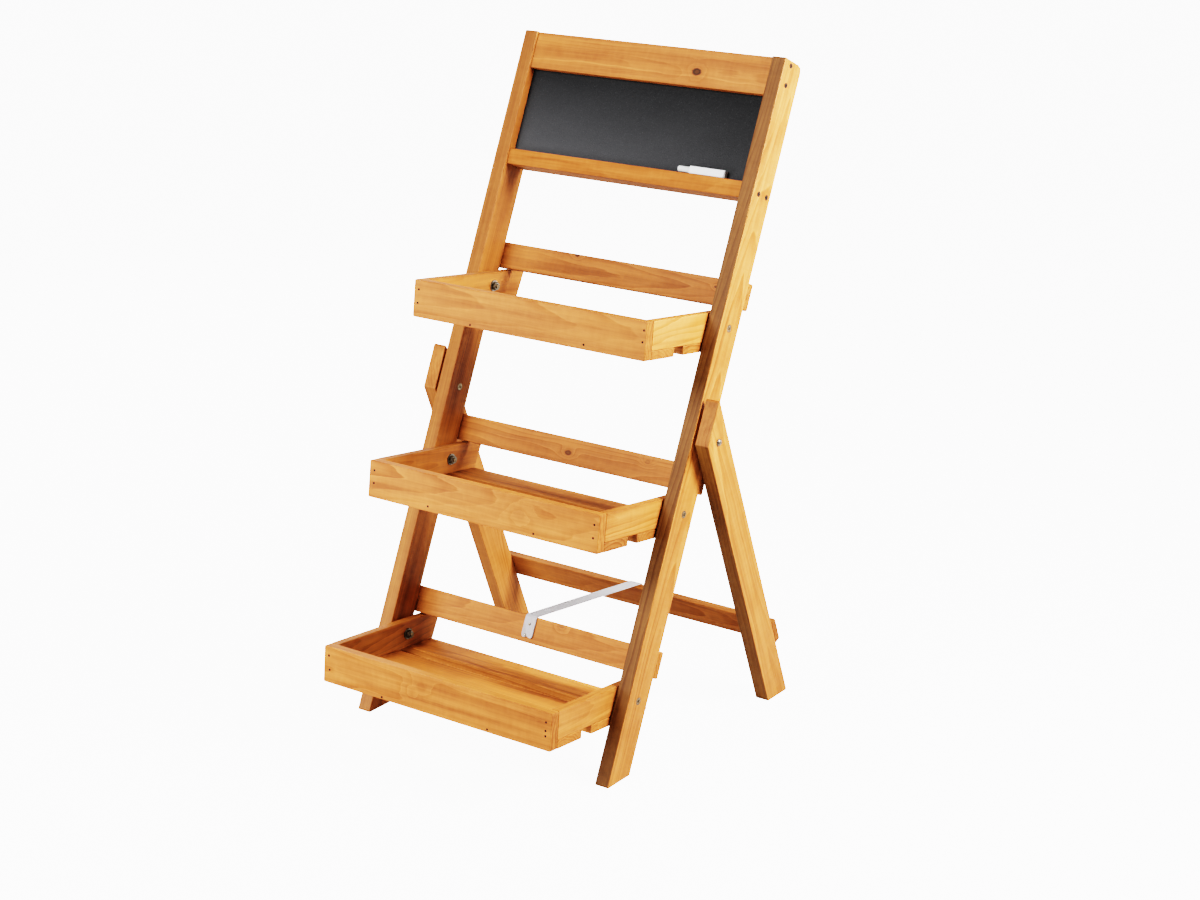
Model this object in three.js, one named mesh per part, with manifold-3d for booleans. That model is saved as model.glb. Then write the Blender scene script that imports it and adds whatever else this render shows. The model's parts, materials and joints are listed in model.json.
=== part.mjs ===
// Folding A-frame plant stand: three hinged slatted trays under a small chalkboard.
// Millimetres, +Z up, +Y to the back of the stand, +X to the right of someone facing its front.
import * as THREE from 'three';
import { mergeVertices } from 'three/addons/utils/BufferGeometryUtils.js';
import Module from 'manifold-3d';

const wasm = await Module();
wasm.setup();

// ---------------------------------------------------------------- driving dimensions

// angles of the open stand, in degrees
const STILE_LEAN = 24; // front frame, top leaning back
const LEG_LEAN = 22; // rear legs, foot standing back
const TRAY_END_CUT = 21; // rear ends of the tray sides, top standing back

// gaps
const FACE_GAP = 0.2; // between two faces that are screwed or nailed together
const HOLE_GAP = 0.3; // around a bolt, radially
const THREAD_GAP = 0.15; // between a bolt and its nut, radially
const GROOVE_GAP = 0.3; // around the chalkboard in its grooves

// eased edges of the boards
const EDGE_EASE = 0.8;
const CORNER_EASE = 1.7;
const EASE_STEPS = 2;

// front frame
const INNER_WIDTH = 315;
const STILE_LENGTH = 805;
const STILE_DEPTH = 38;
const STILE_THICKNESS = 17;
const STILE_TOP_RADIUS = 8;
const TOP_RAIL_HEIGHT = 42;
const TOP_RAIL_THICKNESS = 18;
const TOP_RAIL_DROP = 0.6; // below the stile tops
const RAIL_SETBACK = 3; // top rail and ledge, behind the stile fronts
const BOARD_HEIGHT = 96; // chalkboard between top rail and ledge
const PANEL_THICKNESS = 3;
const PANEL_SETBACK = 12;
const GROOVE_DEPTH = 4;
const LEDGE_HEIGHT = 18;
const LEDGE_DEPTH = 30;
const SLIM_RAIL_HEIGHT = 30; // back rails and rear rail
const SLIM_RAIL_THICKNESS = 8.5;

// trays: pivot height along the stile, and slope in degrees with the rear edge low
const TRAYS = {
  lower: { pivot: 97.5, slope: 5.5 },
  middle: { pivot: 303, slope: 7.5 },
  upper: { pivot: 508.5, slope: 7.5 },
};
const TRAY_SIDE_GAP = 2; // between tray and stile
const TRAY_PIVOT_TO_FRONT = 131.5;
const TRAY_PIVOT_TO_REAR = 58.5;
const TRAY_PIVOT_TO_TOP = 15.5;
const FRONT_BOARD_HEIGHT = 42;
const FRONT_BOARD_THICKNESS = 12;
const SIDE_THICKNESS = 10;
const SLAT_THICKNESS = 10;
const SLAT_WIDTH = 44;
const SLAT_GAP = 17;
const TRAY_STOP_GAP = 0.3; // between a tray side and the back rail that stops it

// rear frame
const LEG_PIVOT_HEIGHT = 386.5; // along the stile
const LEG_DEPTH = 38;
const LEG_THICKNESS = 17;
const LEG_GAP = 3.5; // between stile and leg
const LEG_TOP_INSET = 1; // leg top, behind the stile front
const REAR_RAIL_DROP = 277; // pivot to the top of the rear rail, along the leg

// fasteners
const BOLT_RADIUS = 2.5;
const BOLT_HEAD_RADIUS = 4.1;
const BOLT_HEAD_HEIGHT = 2.4;
const BOLT_TIP_STANDOUT = 1.6; // past the nut
const RECESS_LENGTH = 4.2; // cross recess in a bolt head
const RECESS_WIDTH = 1;
const RECESS_DEPTH = 1.2;
const WASHER_RADIUS = 6.5;
const WASHER_THICKNESS = 1.2;
const NUT_FLATS = 8;
const NUT_HEIGHT = 4;
const SPACER_RADIUS = 8;
const DOME_NUT_RADIUS = 3.9;
const DOME_NUT_RIM = 0.8; // height of its straight rim
const DOME_NUT_HEIGHT = 2.8;
const DOME_NUT_BORE = 1.6; // how far the bolt goes in
const DOME_STEPS = 5;
const ROUND_SIDES = 24;

// limit strap
const STRAP_WIDTH = 15;
const STRAP_THICKNESS = 1;
const STRAP_FRONT_TAB = 25;
const STRAP_REAR_TAB = 18;
const STRAP_GAP = 0.3;
const STRAP_OFFSET = 2.5; // to the right of the middle
// across from the strap's middle, and down from the top of the lower back rail
const TACKS = { upper: { across: 0, drop: 9 }, lower: { across: -2.5, drop: 22 } };
const TACK_HEAD_RADIUS = 1.6;
const TACK_HEAD_HEIGHT = 0.8;
const TACK_SHANK_RADIUS = 0.7;
const TACK_LENGTH = 7;

// chalk
const CHALK_RADIUS = 3.4;
const CHALK_LENGTH = 45;
const CHALK_STANDOUT = 15;
const CHALK_CLEARANCE = 0.3; // round the stick in its holder
const HOLDER_SIZE = 8.6;
const HOLDER_LENGTH = 45;
const HOLDER_CORNER = 1.3;
const HOLDER_TO_STILE = 26.5;

// colours, roughness and metalness
const HONEY_WOOD = { color: 0xdda662, roughness: 0.55, metalness: 0 };
const BLACKBOARD = { color: 0x35363a, roughness: 0.8, metalness: 0 };
const ZINC = { color: 0xb8b2a6, roughness: 0.4, metalness: 0.9 };
const WEBBING = { color: 0xd8d6d6, roughness: 0.9, metalness: 0 };
const CHALK_WHITE = { color: 0xf2f2ef, roughness: 0.95, metalness: 0 };
const WHITE_PLASTIC = { color: 0xf6f6f4, roughness: 0.45, metalness: 0 };

// ---------------------------------------------------------------- derived sizes and places

const radians = THREE.MathUtils.degToRad;
const stileLean = radians(STILE_LEAN);
const legLean = radians(LEG_LEAN);
const trayEndCut = radians(TRAY_END_CUT);

const stileInnerX = INNER_WIDTH / 2;
const stileOuterX = stileInnerX + STILE_THICKNESS;
const stileMiddle = STILE_DEPTH / 2; // every pivot is in the middle of the stile's depth
const legInnerX = stileOuterX + LEG_GAP;
const legOuterX = legInnerX + LEG_THICKNESS;
const topRailTop = STILE_LENGTH - TOP_RAIL_DROP;
const topRailBottom = topRailTop - TOP_RAIL_HEIGHT;
const ledgeTop = topRailBottom - BOARD_HEIGHT;
const ledgeBottom = ledgeTop - LEDGE_HEIGHT;
const trayOuterX = stileInnerX - TRAY_SIDE_GAP;
const trayInnerX = trayOuterX - SIDE_THICKNESS;
const trayBottom = TRAY_PIVOT_TO_TOP - FRONT_BOARD_HEIGHT; // from the tray's pivot
const slatTop = trayBottom + SLAT_THICKNESS;

// Front frame coordinates: x, depth back from the stile fronts, height along the stile.
function framePoint(depth, height) {
  return new THREE.Vector3(
    0,
    height * Math.sin(stileLean) + depth * Math.cos(stileLean),
    height * Math.cos(stileLean) - depth * Math.sin(stileLean),
  );
}
const legPivot = framePoint(stileMiddle, LEG_PIVOT_HEIGHT);

// A tray swings down until its sides meet the lower back corner of the rail above them.
function backRailBottom({ pivot, slope }) {
  const angle = stileLean - radians(slope);
  const reach = stileMiddle + FACE_GAP + SLIM_RAIL_THICKNESS;
  const rise = (TRAY_PIVOT_TO_TOP + TRAY_STOP_GAP + reach * Math.sin(angle)) / Math.cos(angle);
  return pivot + rise;
}

// ---------------------------------------------------------------- geometry helpers

function toSolid(geometry) {
  const bare = geometry.clone();
  bare.deleteAttribute('normal');
  bare.deleteAttribute('uv');
  const welded = mergeVertices(bare, 1e-4);
  return new wasm.Manifold(new wasm.Mesh({
    numProp: 3,
    vertProperties: welded.attributes.position.array,
    triVerts: Uint32Array.from(welded.index.array),
  }));
}

function toGeometry(solid) {
  const mesh = solid.getMesh();
  const geometry = new THREE.BufferGeometry();
  geometry.setAttribute('position', new THREE.BufferAttribute(Float32Array.from(mesh.vertProperties), 3));
  geometry.setIndex(new THREE.BufferAttribute(Uint32Array.from(mesh.triVerts), 1));
  const faceted = geometry.toNonIndexed();
  faceted.computeVertexNormals();
  return faceted;
}

function cut(geometry, cutters) {
  let solid = toSolid(geometry);
  for (const cutter of cutters) {
    solid = solid.subtract(toSolid(cutter));
  }
  return toGeometry(solid);
}

// An outline from corner points [u, v] or [u, v, radius], each corner rounded.
function roundedShape(corners) {
  const shape = new THREE.Shape();
  corners.forEach(([u, v, radius = CORNER_EASE], index) => {
    const corner = new THREE.Vector2(u, v);
    const before = new THREE.Vector2(...corners.at(index - 1)).sub(corner);
    const after = new THREE.Vector2(...corners[(index + 1) % corners.length]).sub(corner);
    const reach = radius / Math.tan(before.angleTo(after) / 2);
    const enter = corner.clone().addScaledVector(before.normalize(), reach);
    const leave = corner.clone().addScaledVector(after.normalize(), reach);
    if (index === 0) {
      shape.moveTo(enter.x, enter.y);
    } else {
      shape.lineTo(enter.x, enter.y);
    }
    shape.quadraticCurveTo(corner.x, corner.y, leave.x, leave.y);
  });
  shape.closePath();
  return shape;
}

function rectangle(u0, v0, u1, v1) {
  return [[u0, v0], [u1, v0], [u1, v1], [u0, v1]];
}

// A board with eased edges: its outline in u, v and its thickness from 0 up along w.
function board(corners, thickness, curveSteps = EASE_STEPS) {
  const geometry = new THREE.ExtrudeGeometry(roundedShape(corners), {
    depth: thickness - 2 * EDGE_EASE,
    curveSegments: curveSteps,
    bevelThickness: EDGE_EASE,
    bevelSize: EDGE_EASE,
    bevelOffset: -EDGE_EASE,
    bevelSegments: EASE_STEPS,
  });
  geometry.translate(0, 0, EDGE_EASE);
  return geometry;
}

// Outline in depth and height, thickness to the right from x.
function boardAcross(corners, thickness, x) {
  const geometry = board(corners, thickness);
  geometry.applyMatrix4(new THREE.Matrix4().makeBasis(
    new THREE.Vector3(0, 1, 0), new THREE.Vector3(0, 0, 1), new THREE.Vector3(1, 0, 0)));
  geometry.translate(x, 0, 0);
  return geometry;
}

// Outline in x and height, thickness back from depth.
function boardFacing(corners, thickness, depth) {
  const geometry = board(corners, thickness);
  geometry.rotateX(Math.PI / 2);
  geometry.translate(0, depth + thickness, 0);
  return geometry;
}

// Outline in x and depth, thickness up from height.
function boardLying(corners, thickness, height) {
  const geometry = board(corners, thickness);
  geometry.translate(0, 0, height);
  return geometry;
}

// A turned piece whose profile [radius, distance] runs along x from x = 0, towards side.
function turnedAlongX(profile, side) {
  const geometry = new THREE.LatheGeometry(profile.map(([r, t]) => new THREE.Vector2(r, t)), ROUND_SIDES);
  geometry.rotateZ(-side * Math.PI / 2);
  return geometry;
}

function rodAlongX(radius, x0, x1, depth, height) {
  const geometry = new THREE.CylinderGeometry(radius, radius, Math.abs(x1 - x0), ROUND_SIDES);
  geometry.rotateZ(Math.PI / 2);
  geometry.translate((x0 + x1) / 2, depth, height);
  return geometry;
}

// The conical seat and through hole that a flush bolt needs, opening towards side at x.
function boltSeat(x, side, depth, height) {
  const headRadius = BOLT_HEAD_RADIUS + HOLE_GAP;
  const shankRadius = BOLT_RADIUS + HOLE_GAP;
  const past = 1; // past the open face, so that the cut is clean
  const seatDepth = BOLT_HEAD_HEIGHT + HOLE_GAP;
  const length = STILE_THICKNESS + 2 * past;
  const seat = turnedAlongX([
    [0, -past], [headRadius, -past], [headRadius, HOLE_GAP],
    [shankRadius, seatDepth], [shankRadius, length], [0, length],
  ], -side);
  seat.translate(x, depth, height);
  return seat;
}

// A flush-headed bolt: head outwards at side, shank running the other way.
function flushBolt(length, side) {
  const body = turnedAlongX([
    [0, 0], [BOLT_HEAD_RADIUS, 0], [BOLT_HEAD_RADIUS, HOLE_GAP],
    [BOLT_RADIUS, BOLT_HEAD_HEIGHT], [BOLT_RADIUS, length], [0, length],
  ], -side);
  const recess = [0, 1].map((turn) => {
    const slot = new THREE.BoxGeometry(2 * RECESS_DEPTH, RECESS_LENGTH, RECESS_WIDTH);
    slot.rotateX(turn * Math.PI / 2 + Math.PI / 4);
    return slot;
  });
  return cut(body, recess);
}

function ring(outer, inner, thickness, side) {
  return turnedAlongX([[inner, 0], [outer, 0], [outer, thickness], [inner, thickness], [inner, 0]], side);
}

function hexPrism(flats, height, side) {
  const geometry = new THREE.CylinderGeometry(flats / Math.sqrt(3), flats / Math.sqrt(3), height, 6);
  geometry.translate(0, height / 2, 0);
  geometry.rotateZ(-side * Math.PI / 2);
  return geometry;
}

function hexNut(side) {
  const bore = BOLT_RADIUS + THREAD_GAP;
  return cut(hexPrism(NUT_FLATS, NUT_HEIGHT, side), [rodAlongX(bore, -NUT_HEIGHT * 2, NUT_HEIGHT * 2, 0, 0)]);
}

function domeNut(side) {
  const profile = [[0, 0], [DOME_NUT_RADIUS, 0]];
  for (let step = 0; step < DOME_STEPS; step += 1) {
    const angle = (step / DOME_STEPS) * Math.PI / 2;
    const crown = DOME_NUT_HEIGHT - DOME_NUT_RIM;
    profile.push([DOME_NUT_RADIUS * Math.cos(angle), DOME_NUT_RIM + crown * Math.sin(angle)]);
  }
  profile.push([0, DOME_NUT_HEIGHT]);
  const bore = rodAlongX(BOLT_RADIUS + THREAD_GAP, -DOME_NUT_BORE, DOME_NUT_BORE, 0, 0);
  return cut(turnedAlongX(profile, side), [bore]);
}

// ---------------------------------------------------------------- scene graph helpers

function named(name, geometry, finish) {
  const mesh = new THREE.Mesh(geometry, new THREE.MeshStandardMaterial(finish));
  mesh.name = name;
  return mesh;
}

const SIDES = [{ label: 'left', side: -1 }, { label: 'right', side: 1 }];

// ---------------------------------------------------------------- front frame

function stile(label, side) {
  const footRise = STILE_DEPTH * Math.tan(stileLean); // the foot is cut level with the floor
  const outline = [
    [0, 0], [STILE_DEPTH, footRise], [STILE_DEPTH, STILE_LENGTH, STILE_TOP_RADIUS], [0, STILE_LENGTH],
  ];
  const x = side > 0 ? stileInnerX : -stileOuterX;
  const cutters = Object.values(TRAYS).map(
    ({ pivot }) => boltSeat(side * stileOuterX, side, stileMiddle, pivot));
  cutters.push(boltSeat(side * stileInnerX, -side, stileMiddle, LEG_PIVOT_HEIGHT));
  cutters.push(panelGroove());
  return named(`${label}_stile`, cut(boardAcross(outline, STILE_THICKNESS, x), cutters), HONEY_WOOD);
}

// The chalkboard's space, GROOVE_GAP larger than the board all round.
function panelGroove() {
  const groove = new THREE.BoxGeometry(
    INNER_WIDTH + 2 * GROOVE_DEPTH,
    PANEL_THICKNESS + 2 * GROOVE_GAP,
    BOARD_HEIGHT + 2 * GROOVE_DEPTH,
  );
  groove.translate(0, PANEL_SETBACK + PANEL_THICKNESS / 2, ledgeTop + BOARD_HEIGHT / 2);
  return groove;
}

function topRail() {
  const outline = rectangle(-stileInnerX, topRailBottom, stileInnerX, topRailTop);
  const board = boardFacing(outline, TOP_RAIL_THICKNESS, RAIL_SETBACK);
  return named('top_rail', cut(board, [panelGroove()]), HONEY_WOOD);
}

function chalkLedge() {
  const outline = rectangle(-stileInnerX, ledgeBottom, stileInnerX, ledgeTop);
  const board = boardFacing(outline, LEDGE_DEPTH, RAIL_SETBACK);
  return named('chalk_ledge', cut(board, [panelGroove()]), HONEY_WOOD);
}

function chalkboardPanel() {
  const panel = new THREE.BoxGeometry(
    INNER_WIDTH + 2 * (GROOVE_DEPTH - GROOVE_GAP),
    PANEL_THICKNESS,
    BOARD_HEIGHT + 2 * (GROOVE_DEPTH - GROOVE_GAP),
  );
  panel.translate(0, PANEL_SETBACK + PANEL_THICKNESS / 2, ledgeTop + BOARD_HEIGHT / 2);
  return named('chalkboard_panel', panel, BLACKBOARD);
}

function backRail(label) {
  const bottom = backRailBottom(TRAYS[label]);
  const outline = rectangle(-stileOuterX, bottom, stileOuterX, bottom + SLIM_RAIL_HEIGHT);
  const rail = boardFacing(outline, SLIM_RAIL_THICKNESS, STILE_DEPTH + FACE_GAP);
  return named(`${label}_back_rail`, label === 'lower' ? cut(rail, tackHoles()) : rail, HONEY_WOOD);
}

// Bolt, washer and nut of one tray pivot: the bolt's head is flush in the stile's outer face.
function trayPivotHardware(trayLabel, label, side) {
  const washerX = trayInnerX - FACE_GAP;
  const nutX = washerX - WASHER_THICKNESS - FACE_GAP;
  const tipX = nutX - NUT_HEIGHT - BOLT_TIP_STANDOUT;
  const pieces = [
    named(`${trayLabel}_tray_${label}_bolt`, flushBolt(stileOuterX - tipX, side), ZINC),
    named(
      `${trayLabel}_tray_${label}_washer`,
      ring(WASHER_RADIUS, BOLT_RADIUS + HOLE_GAP, WASHER_THICKNESS, -side),
      ZINC,
    ),
    named(`${trayLabel}_tray_${label}_nut`, hexNut(-side), ZINC),
  ];
  const places = [stileOuterX, washerX, nutX];
  pieces.forEach((piece, index) => {
    piece.position.set(side * places[index], stileMiddle, TRAYS[trayLabel].pivot);
  });
  return pieces;
}

// Bolt, spacer and dome nut of one leg pivot: the bolt's head is flush in the stile's inner face.
function legPivotHardware(label, side) {
  const domeNutX = legOuterX + FACE_GAP;
  const boltLength = domeNutX + DOME_NUT_BORE - FACE_GAP - stileInnerX;
  const pieces = [
    named(`${label}_pivot_bolt`, flushBolt(boltLength, -side), ZINC),
    named(
      `${label}_pivot_spacer`,
      ring(SPACER_RADIUS, BOLT_RADIUS + HOLE_GAP, LEG_GAP - 2 * FACE_GAP, side),
      ZINC,
    ),
    named(`${label}_pivot_dome_nut`, domeNut(side), ZINC),
  ];
  const places = [stileInnerX, stileOuterX + FACE_GAP, domeNutX];
  pieces.forEach((piece, index) => {
    piece.position.set(side * places[index], stileMiddle, LEG_PIVOT_HEIGHT);
  });
  return pieces;
}

// A square plastic sleeve with the chalk stick in its bore, lying against the chalkboard.
function chalkAndHolder() {
  const half = HOLDER_SIZE / 2;
  const corners = rectangle(-half, -half, half, half).map(([u, v]) => [u, v, HOLDER_CORNER]);
  const sleeve = boardAcross(corners, HOLDER_LENGTH, -HOLDER_LENGTH / 2);
  const boreEnd = CHALK_LENGTH - CHALK_STANDOUT - HOLDER_LENGTH / 2 + CHALK_CLEARANCE;
  const bore = rodAlongX(CHALK_RADIUS + CHALK_CLEARANCE, -HOLDER_LENGTH, boreEnd, 0, 0);
  const holder = named('chalk_holder', cut(sleeve, [bore]), WHITE_PLASTIC);
  const chalkStart = -HOLDER_LENGTH / 2 - CHALK_STANDOUT;
  const stick = rodAlongX(CHALK_RADIUS, chalkStart, chalkStart + CHALK_LENGTH, 0, 0);
  const chalk = named('chalk_stick', stick, CHALK_WHITE);
  for (const piece of [holder, chalk]) {
    piece.position.set(
      stileInnerX - HOLDER_TO_STILE - HOLDER_LENGTH / 2,
      PANEL_SETBACK - FACE_GAP - half,
      ledgeTop + FACE_GAP + half,
    );
  }
  return [holder, chalk];
}

function frontFrame() {
  const frame = new THREE.Group();
  frame.rotation.x = -stileLean;
  frame.add(topRail(), chalkLedge(), chalkboardPanel(), ...chalkAndHolder(), ...strapTacks());
  for (const { label, side } of SIDES) {
    frame.add(stile(label, side), ...legPivotHardware(label, side));
  }
  for (const trayLabel of Object.keys(TRAYS)) {
    frame.add(backRail(trayLabel));
    for (const { label, side } of SIDES) {
      frame.add(...trayPivotHardware(trayLabel, label, side));
    }
  }
  return frame;
}

// ---------------------------------------------------------------- trays

// Tray coordinates: x, back from the pivot, up from the pivot.
function traySide(trayLabel, label, side) {
  const front = -TRAY_PIVOT_TO_FRONT + FRONT_BOARD_THICKNESS + FACE_GAP;
  const bottom = slatTop + FACE_GAP;
  const rearBottom = TRAY_PIVOT_TO_REAR - (TRAY_PIVOT_TO_TOP - bottom) * Math.tan(trayEndCut);
  const outline = [
    [front, bottom], [rearBottom, bottom], [TRAY_PIVOT_TO_REAR, TRAY_PIVOT_TO_TOP], [front, TRAY_PIVOT_TO_TOP],
  ];
  const x = side > 0 ? trayInnerX : -trayOuterX;
  const hole = rodAlongX(BOLT_RADIUS + HOLE_GAP, -2 * trayOuterX, 2 * trayOuterX, 0, 0);
  const board = cut(boardAcross(outline, SIDE_THICKNESS, x), [hole]);
  return named(`${trayLabel}_tray_${label}_side`, board, HONEY_WOOD);
}

function tray(trayLabel) {
  const { pivot, slope } = TRAYS[trayLabel];
  const group = new THREE.Group();
  group.position.copy(framePoint(stileMiddle, pivot));
  group.rotation.x = -radians(slope);
  const frontOutline = rectangle(-trayOuterX, trayBottom, trayOuterX, TRAY_PIVOT_TO_TOP);
  const frontBoard = boardFacing(frontOutline, FRONT_BOARD_THICKNESS, -TRAY_PIVOT_TO_FRONT);
  group.add(named(`${trayLabel}_tray_front_board`, frontBoard, HONEY_WOOD));
  for (const { label, side } of SIDES) {
    group.add(traySide(trayLabel, label, side));
  }
  ['front', 'middle', 'rear'].forEach((label, index) => {
    const start = -TRAY_PIVOT_TO_FRONT + FRONT_BOARD_THICKNESS + FACE_GAP + index * (SLAT_WIDTH + SLAT_GAP);
    const outline = rectangle(-trayOuterX, start, trayOuterX, start + SLAT_WIDTH);
    const slat = boardLying(outline, SLAT_THICKNESS, trayBottom);
    group.add(named(`${trayLabel}_tray_${label}_slat`, slat, HONEY_WOOD));
  });
  return group;
}

// ---------------------------------------------------------------- rear frame

// Leg coordinates: x, back from the pivot, up along the leg from the pivot.
function rearLeg(label, side) {
  const openAngle = stileLean + legLean;
  const half = LEG_DEPTH / 2;
  const footAt = (depth) => -(legPivot.z + depth * Math.sin(legLean)) / Math.cos(legLean);
  // the top is cut along the stile's front face
  const topAt = (depth) => (stileMiddle - LEG_TOP_INSET + depth * Math.cos(openAngle)) / Math.sin(openAngle);
  const outline = [
    [-half, footAt(-half)], [half, footAt(half)], [half, topAt(half)], [-half, topAt(-half)],
  ];
  const x = side > 0 ? legInnerX : -legOuterX;
  const hole = rodAlongX(BOLT_RADIUS + HOLE_GAP, -2 * legOuterX, 2 * legOuterX, 0, 0);
  return named(`${label}_rear_leg`, cut(boardAcross(outline, LEG_THICKNESS, x), [hole]), HONEY_WOOD);
}

const rearRailFront = LEG_DEPTH / 2 + FACE_GAP;

function rearFrame() {
  const frame = new THREE.Group();
  frame.position.copy(legPivot);
  frame.rotation.x = legLean;
  for (const { label, side } of SIDES) {
    frame.add(rearLeg(label, side));
  }
  const outline = rectangle(-legOuterX, -REAR_RAIL_DROP - SLIM_RAIL_HEIGHT, legOuterX, -REAR_RAIL_DROP);
  frame.add(named('rear_rail', boardFacing(outline, SLIM_RAIL_THICKNESS, rearRailFront), HONEY_WOOD));
  return frame;
}

// Side view point [y, z] of a place in leg coordinates.
function legPoint(depth, height) {
  return new THREE.Vector3(
    0,
    legPivot.y + depth * Math.cos(legLean) - height * Math.sin(legLean),
    legPivot.z + depth * Math.sin(legLean) + height * Math.cos(legLean),
  );
}

// ---------------------------------------------------------------- limit strap

const strapLift = STRAP_GAP + STRAP_THICKNESS / 2; // its middle line, off the wood
const strapRailTop = backRailBottom(TRAYS.lower) + SLIM_RAIL_HEIGHT;
const tackHeadDepth = STILE_DEPTH + FACE_GAP - STRAP_GAP - STRAP_THICKNESS - FACE_GAP;

// The band's middle line: up the lower back rail's front, taut to the rear rail's top back edge
// and down its back.
function strapMiddleLine() {
  const railFront = STILE_DEPTH + FACE_GAP;
  const rearRailBack = rearRailFront + SLIM_RAIL_THICKNESS;
  const start = framePoint(railFront, strapRailTop + strapLift);
  const edge = legPoint(rearRailBack, -REAR_RAIL_DROP);
  const offEdge = new THREE.Vector3(0, start.z - edge.z, edge.y - start.y).setLength(strapLift);
  return [
    framePoint(railFront - strapLift, strapRailTop - STRAP_FRONT_TAB),
    framePoint(railFront - strapLift, strapRailTop),
    start,
    edge.clone().add(offEdge),
    legPoint(rearRailBack + strapLift, -REAR_RAIL_DROP),
    legPoint(rearRailBack + strapLift, -REAR_RAIL_DROP - STRAP_REAR_TAB),
  ].map((point) => new THREE.Vector2(point.y, point.z));
}

// The line moved sideways by offset, its corners kept mitred.
function offsetLine(line, offset) {
  const steps = line.slice(1).map((point, index) => point.clone().sub(line[index]).normalize());
  return line.map((point, index) => {
    const into = steps[Math.max(index - 1, 0)];
    const out = steps[Math.min(index, steps.length - 1)];
    const normal = new THREE.Vector2(-into.y - out.y, into.x + out.x).normalize();
    const mitre = normal.dot(new THREE.Vector2(-into.y, into.x));
    return point.clone().addScaledVector(normal, offset / mitre);
  });
}

function limitStrap() {
  const line = strapMiddleLine();
  const half = STRAP_THICKNESS / 2;
  const outline = [...offsetLine(line, -half), ...offsetLine(line, half).reverse()];
  const geometry = new THREE.ExtrudeGeometry(
    new THREE.Shape(outline), { depth: STRAP_WIDTH, bevelEnabled: false });
  geometry.applyMatrix4(new THREE.Matrix4().makeBasis(
    new THREE.Vector3(0, 1, 0), new THREE.Vector3(0, 0, 1), new THREE.Vector3(1, 0, 0)));
  geometry.translate(STRAP_OFFSET - STRAP_WIDTH / 2, 0, 0);
  const holes = tackHoles().map((hole) => hole.rotateX(-stileLean));
  return named('limit_strap', cut(geometry, holes), WEBBING);
}

// Front frame coordinates: the holes that the tacks go through in the strap and into the rail.
function tackHoles() {
  const length = TACK_LENGTH + 2 * STRAP_THICKNESS;
  return Object.values(TACKS).map(({ across, drop }) => {
    const hole = new THREE.CylinderGeometry(
      TACK_SHANK_RADIUS + THREAD_GAP, TACK_SHANK_RADIUS + THREAD_GAP, length, ROUND_SIDES);
    const depth = tackHeadDepth + length / 2 - STRAP_THICKNESS;
    return hole.translate(STRAP_OFFSET + across, depth, strapRailTop - drop);
  });
}

function strapTacks() {
  const profile = [
    [0, -TACK_HEAD_HEIGHT],
    [TACK_HEAD_RADIUS * Math.SQRT1_2, -TACK_HEAD_HEIGHT * Math.SQRT1_2],
    [TACK_HEAD_RADIUS, 0],
    [TACK_SHANK_RADIUS, 0],
    [TACK_SHANK_RADIUS, TACK_LENGTH],
    [0, TACK_LENGTH],
  ].map(([radius, depth]) => new THREE.Vector2(radius, depth));
  return Object.entries(TACKS).map(([label, { across, drop }]) => {
    const tack = named(`strap_${label}_tack`, new THREE.LatheGeometry(profile, ROUND_SIDES), ZINC);
    tack.position.set(STRAP_OFFSET + across, tackHeadDepth, strapRailTop - drop);
    return tack;
  });
}

// ---------------------------------------------------------------- the stand

const stand = new THREE.Group();
stand.add(frontFrame(), rearFrame(), limitStrap());
for (const trayLabel of Object.keys(TRAYS)) {
  stand.add(tray(trayLabel));
}

// The origin is on the floor under the middle of the stand.
const extent = new THREE.Box3().setFromObject(stand, true);
stand.position.y = -(extent.min.y + extent.max.y) / 2;

export default stand;
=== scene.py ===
"""Finishes and stages a folding plant stand with three hinged trays and a small chalkboard."""

import json
import math

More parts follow.
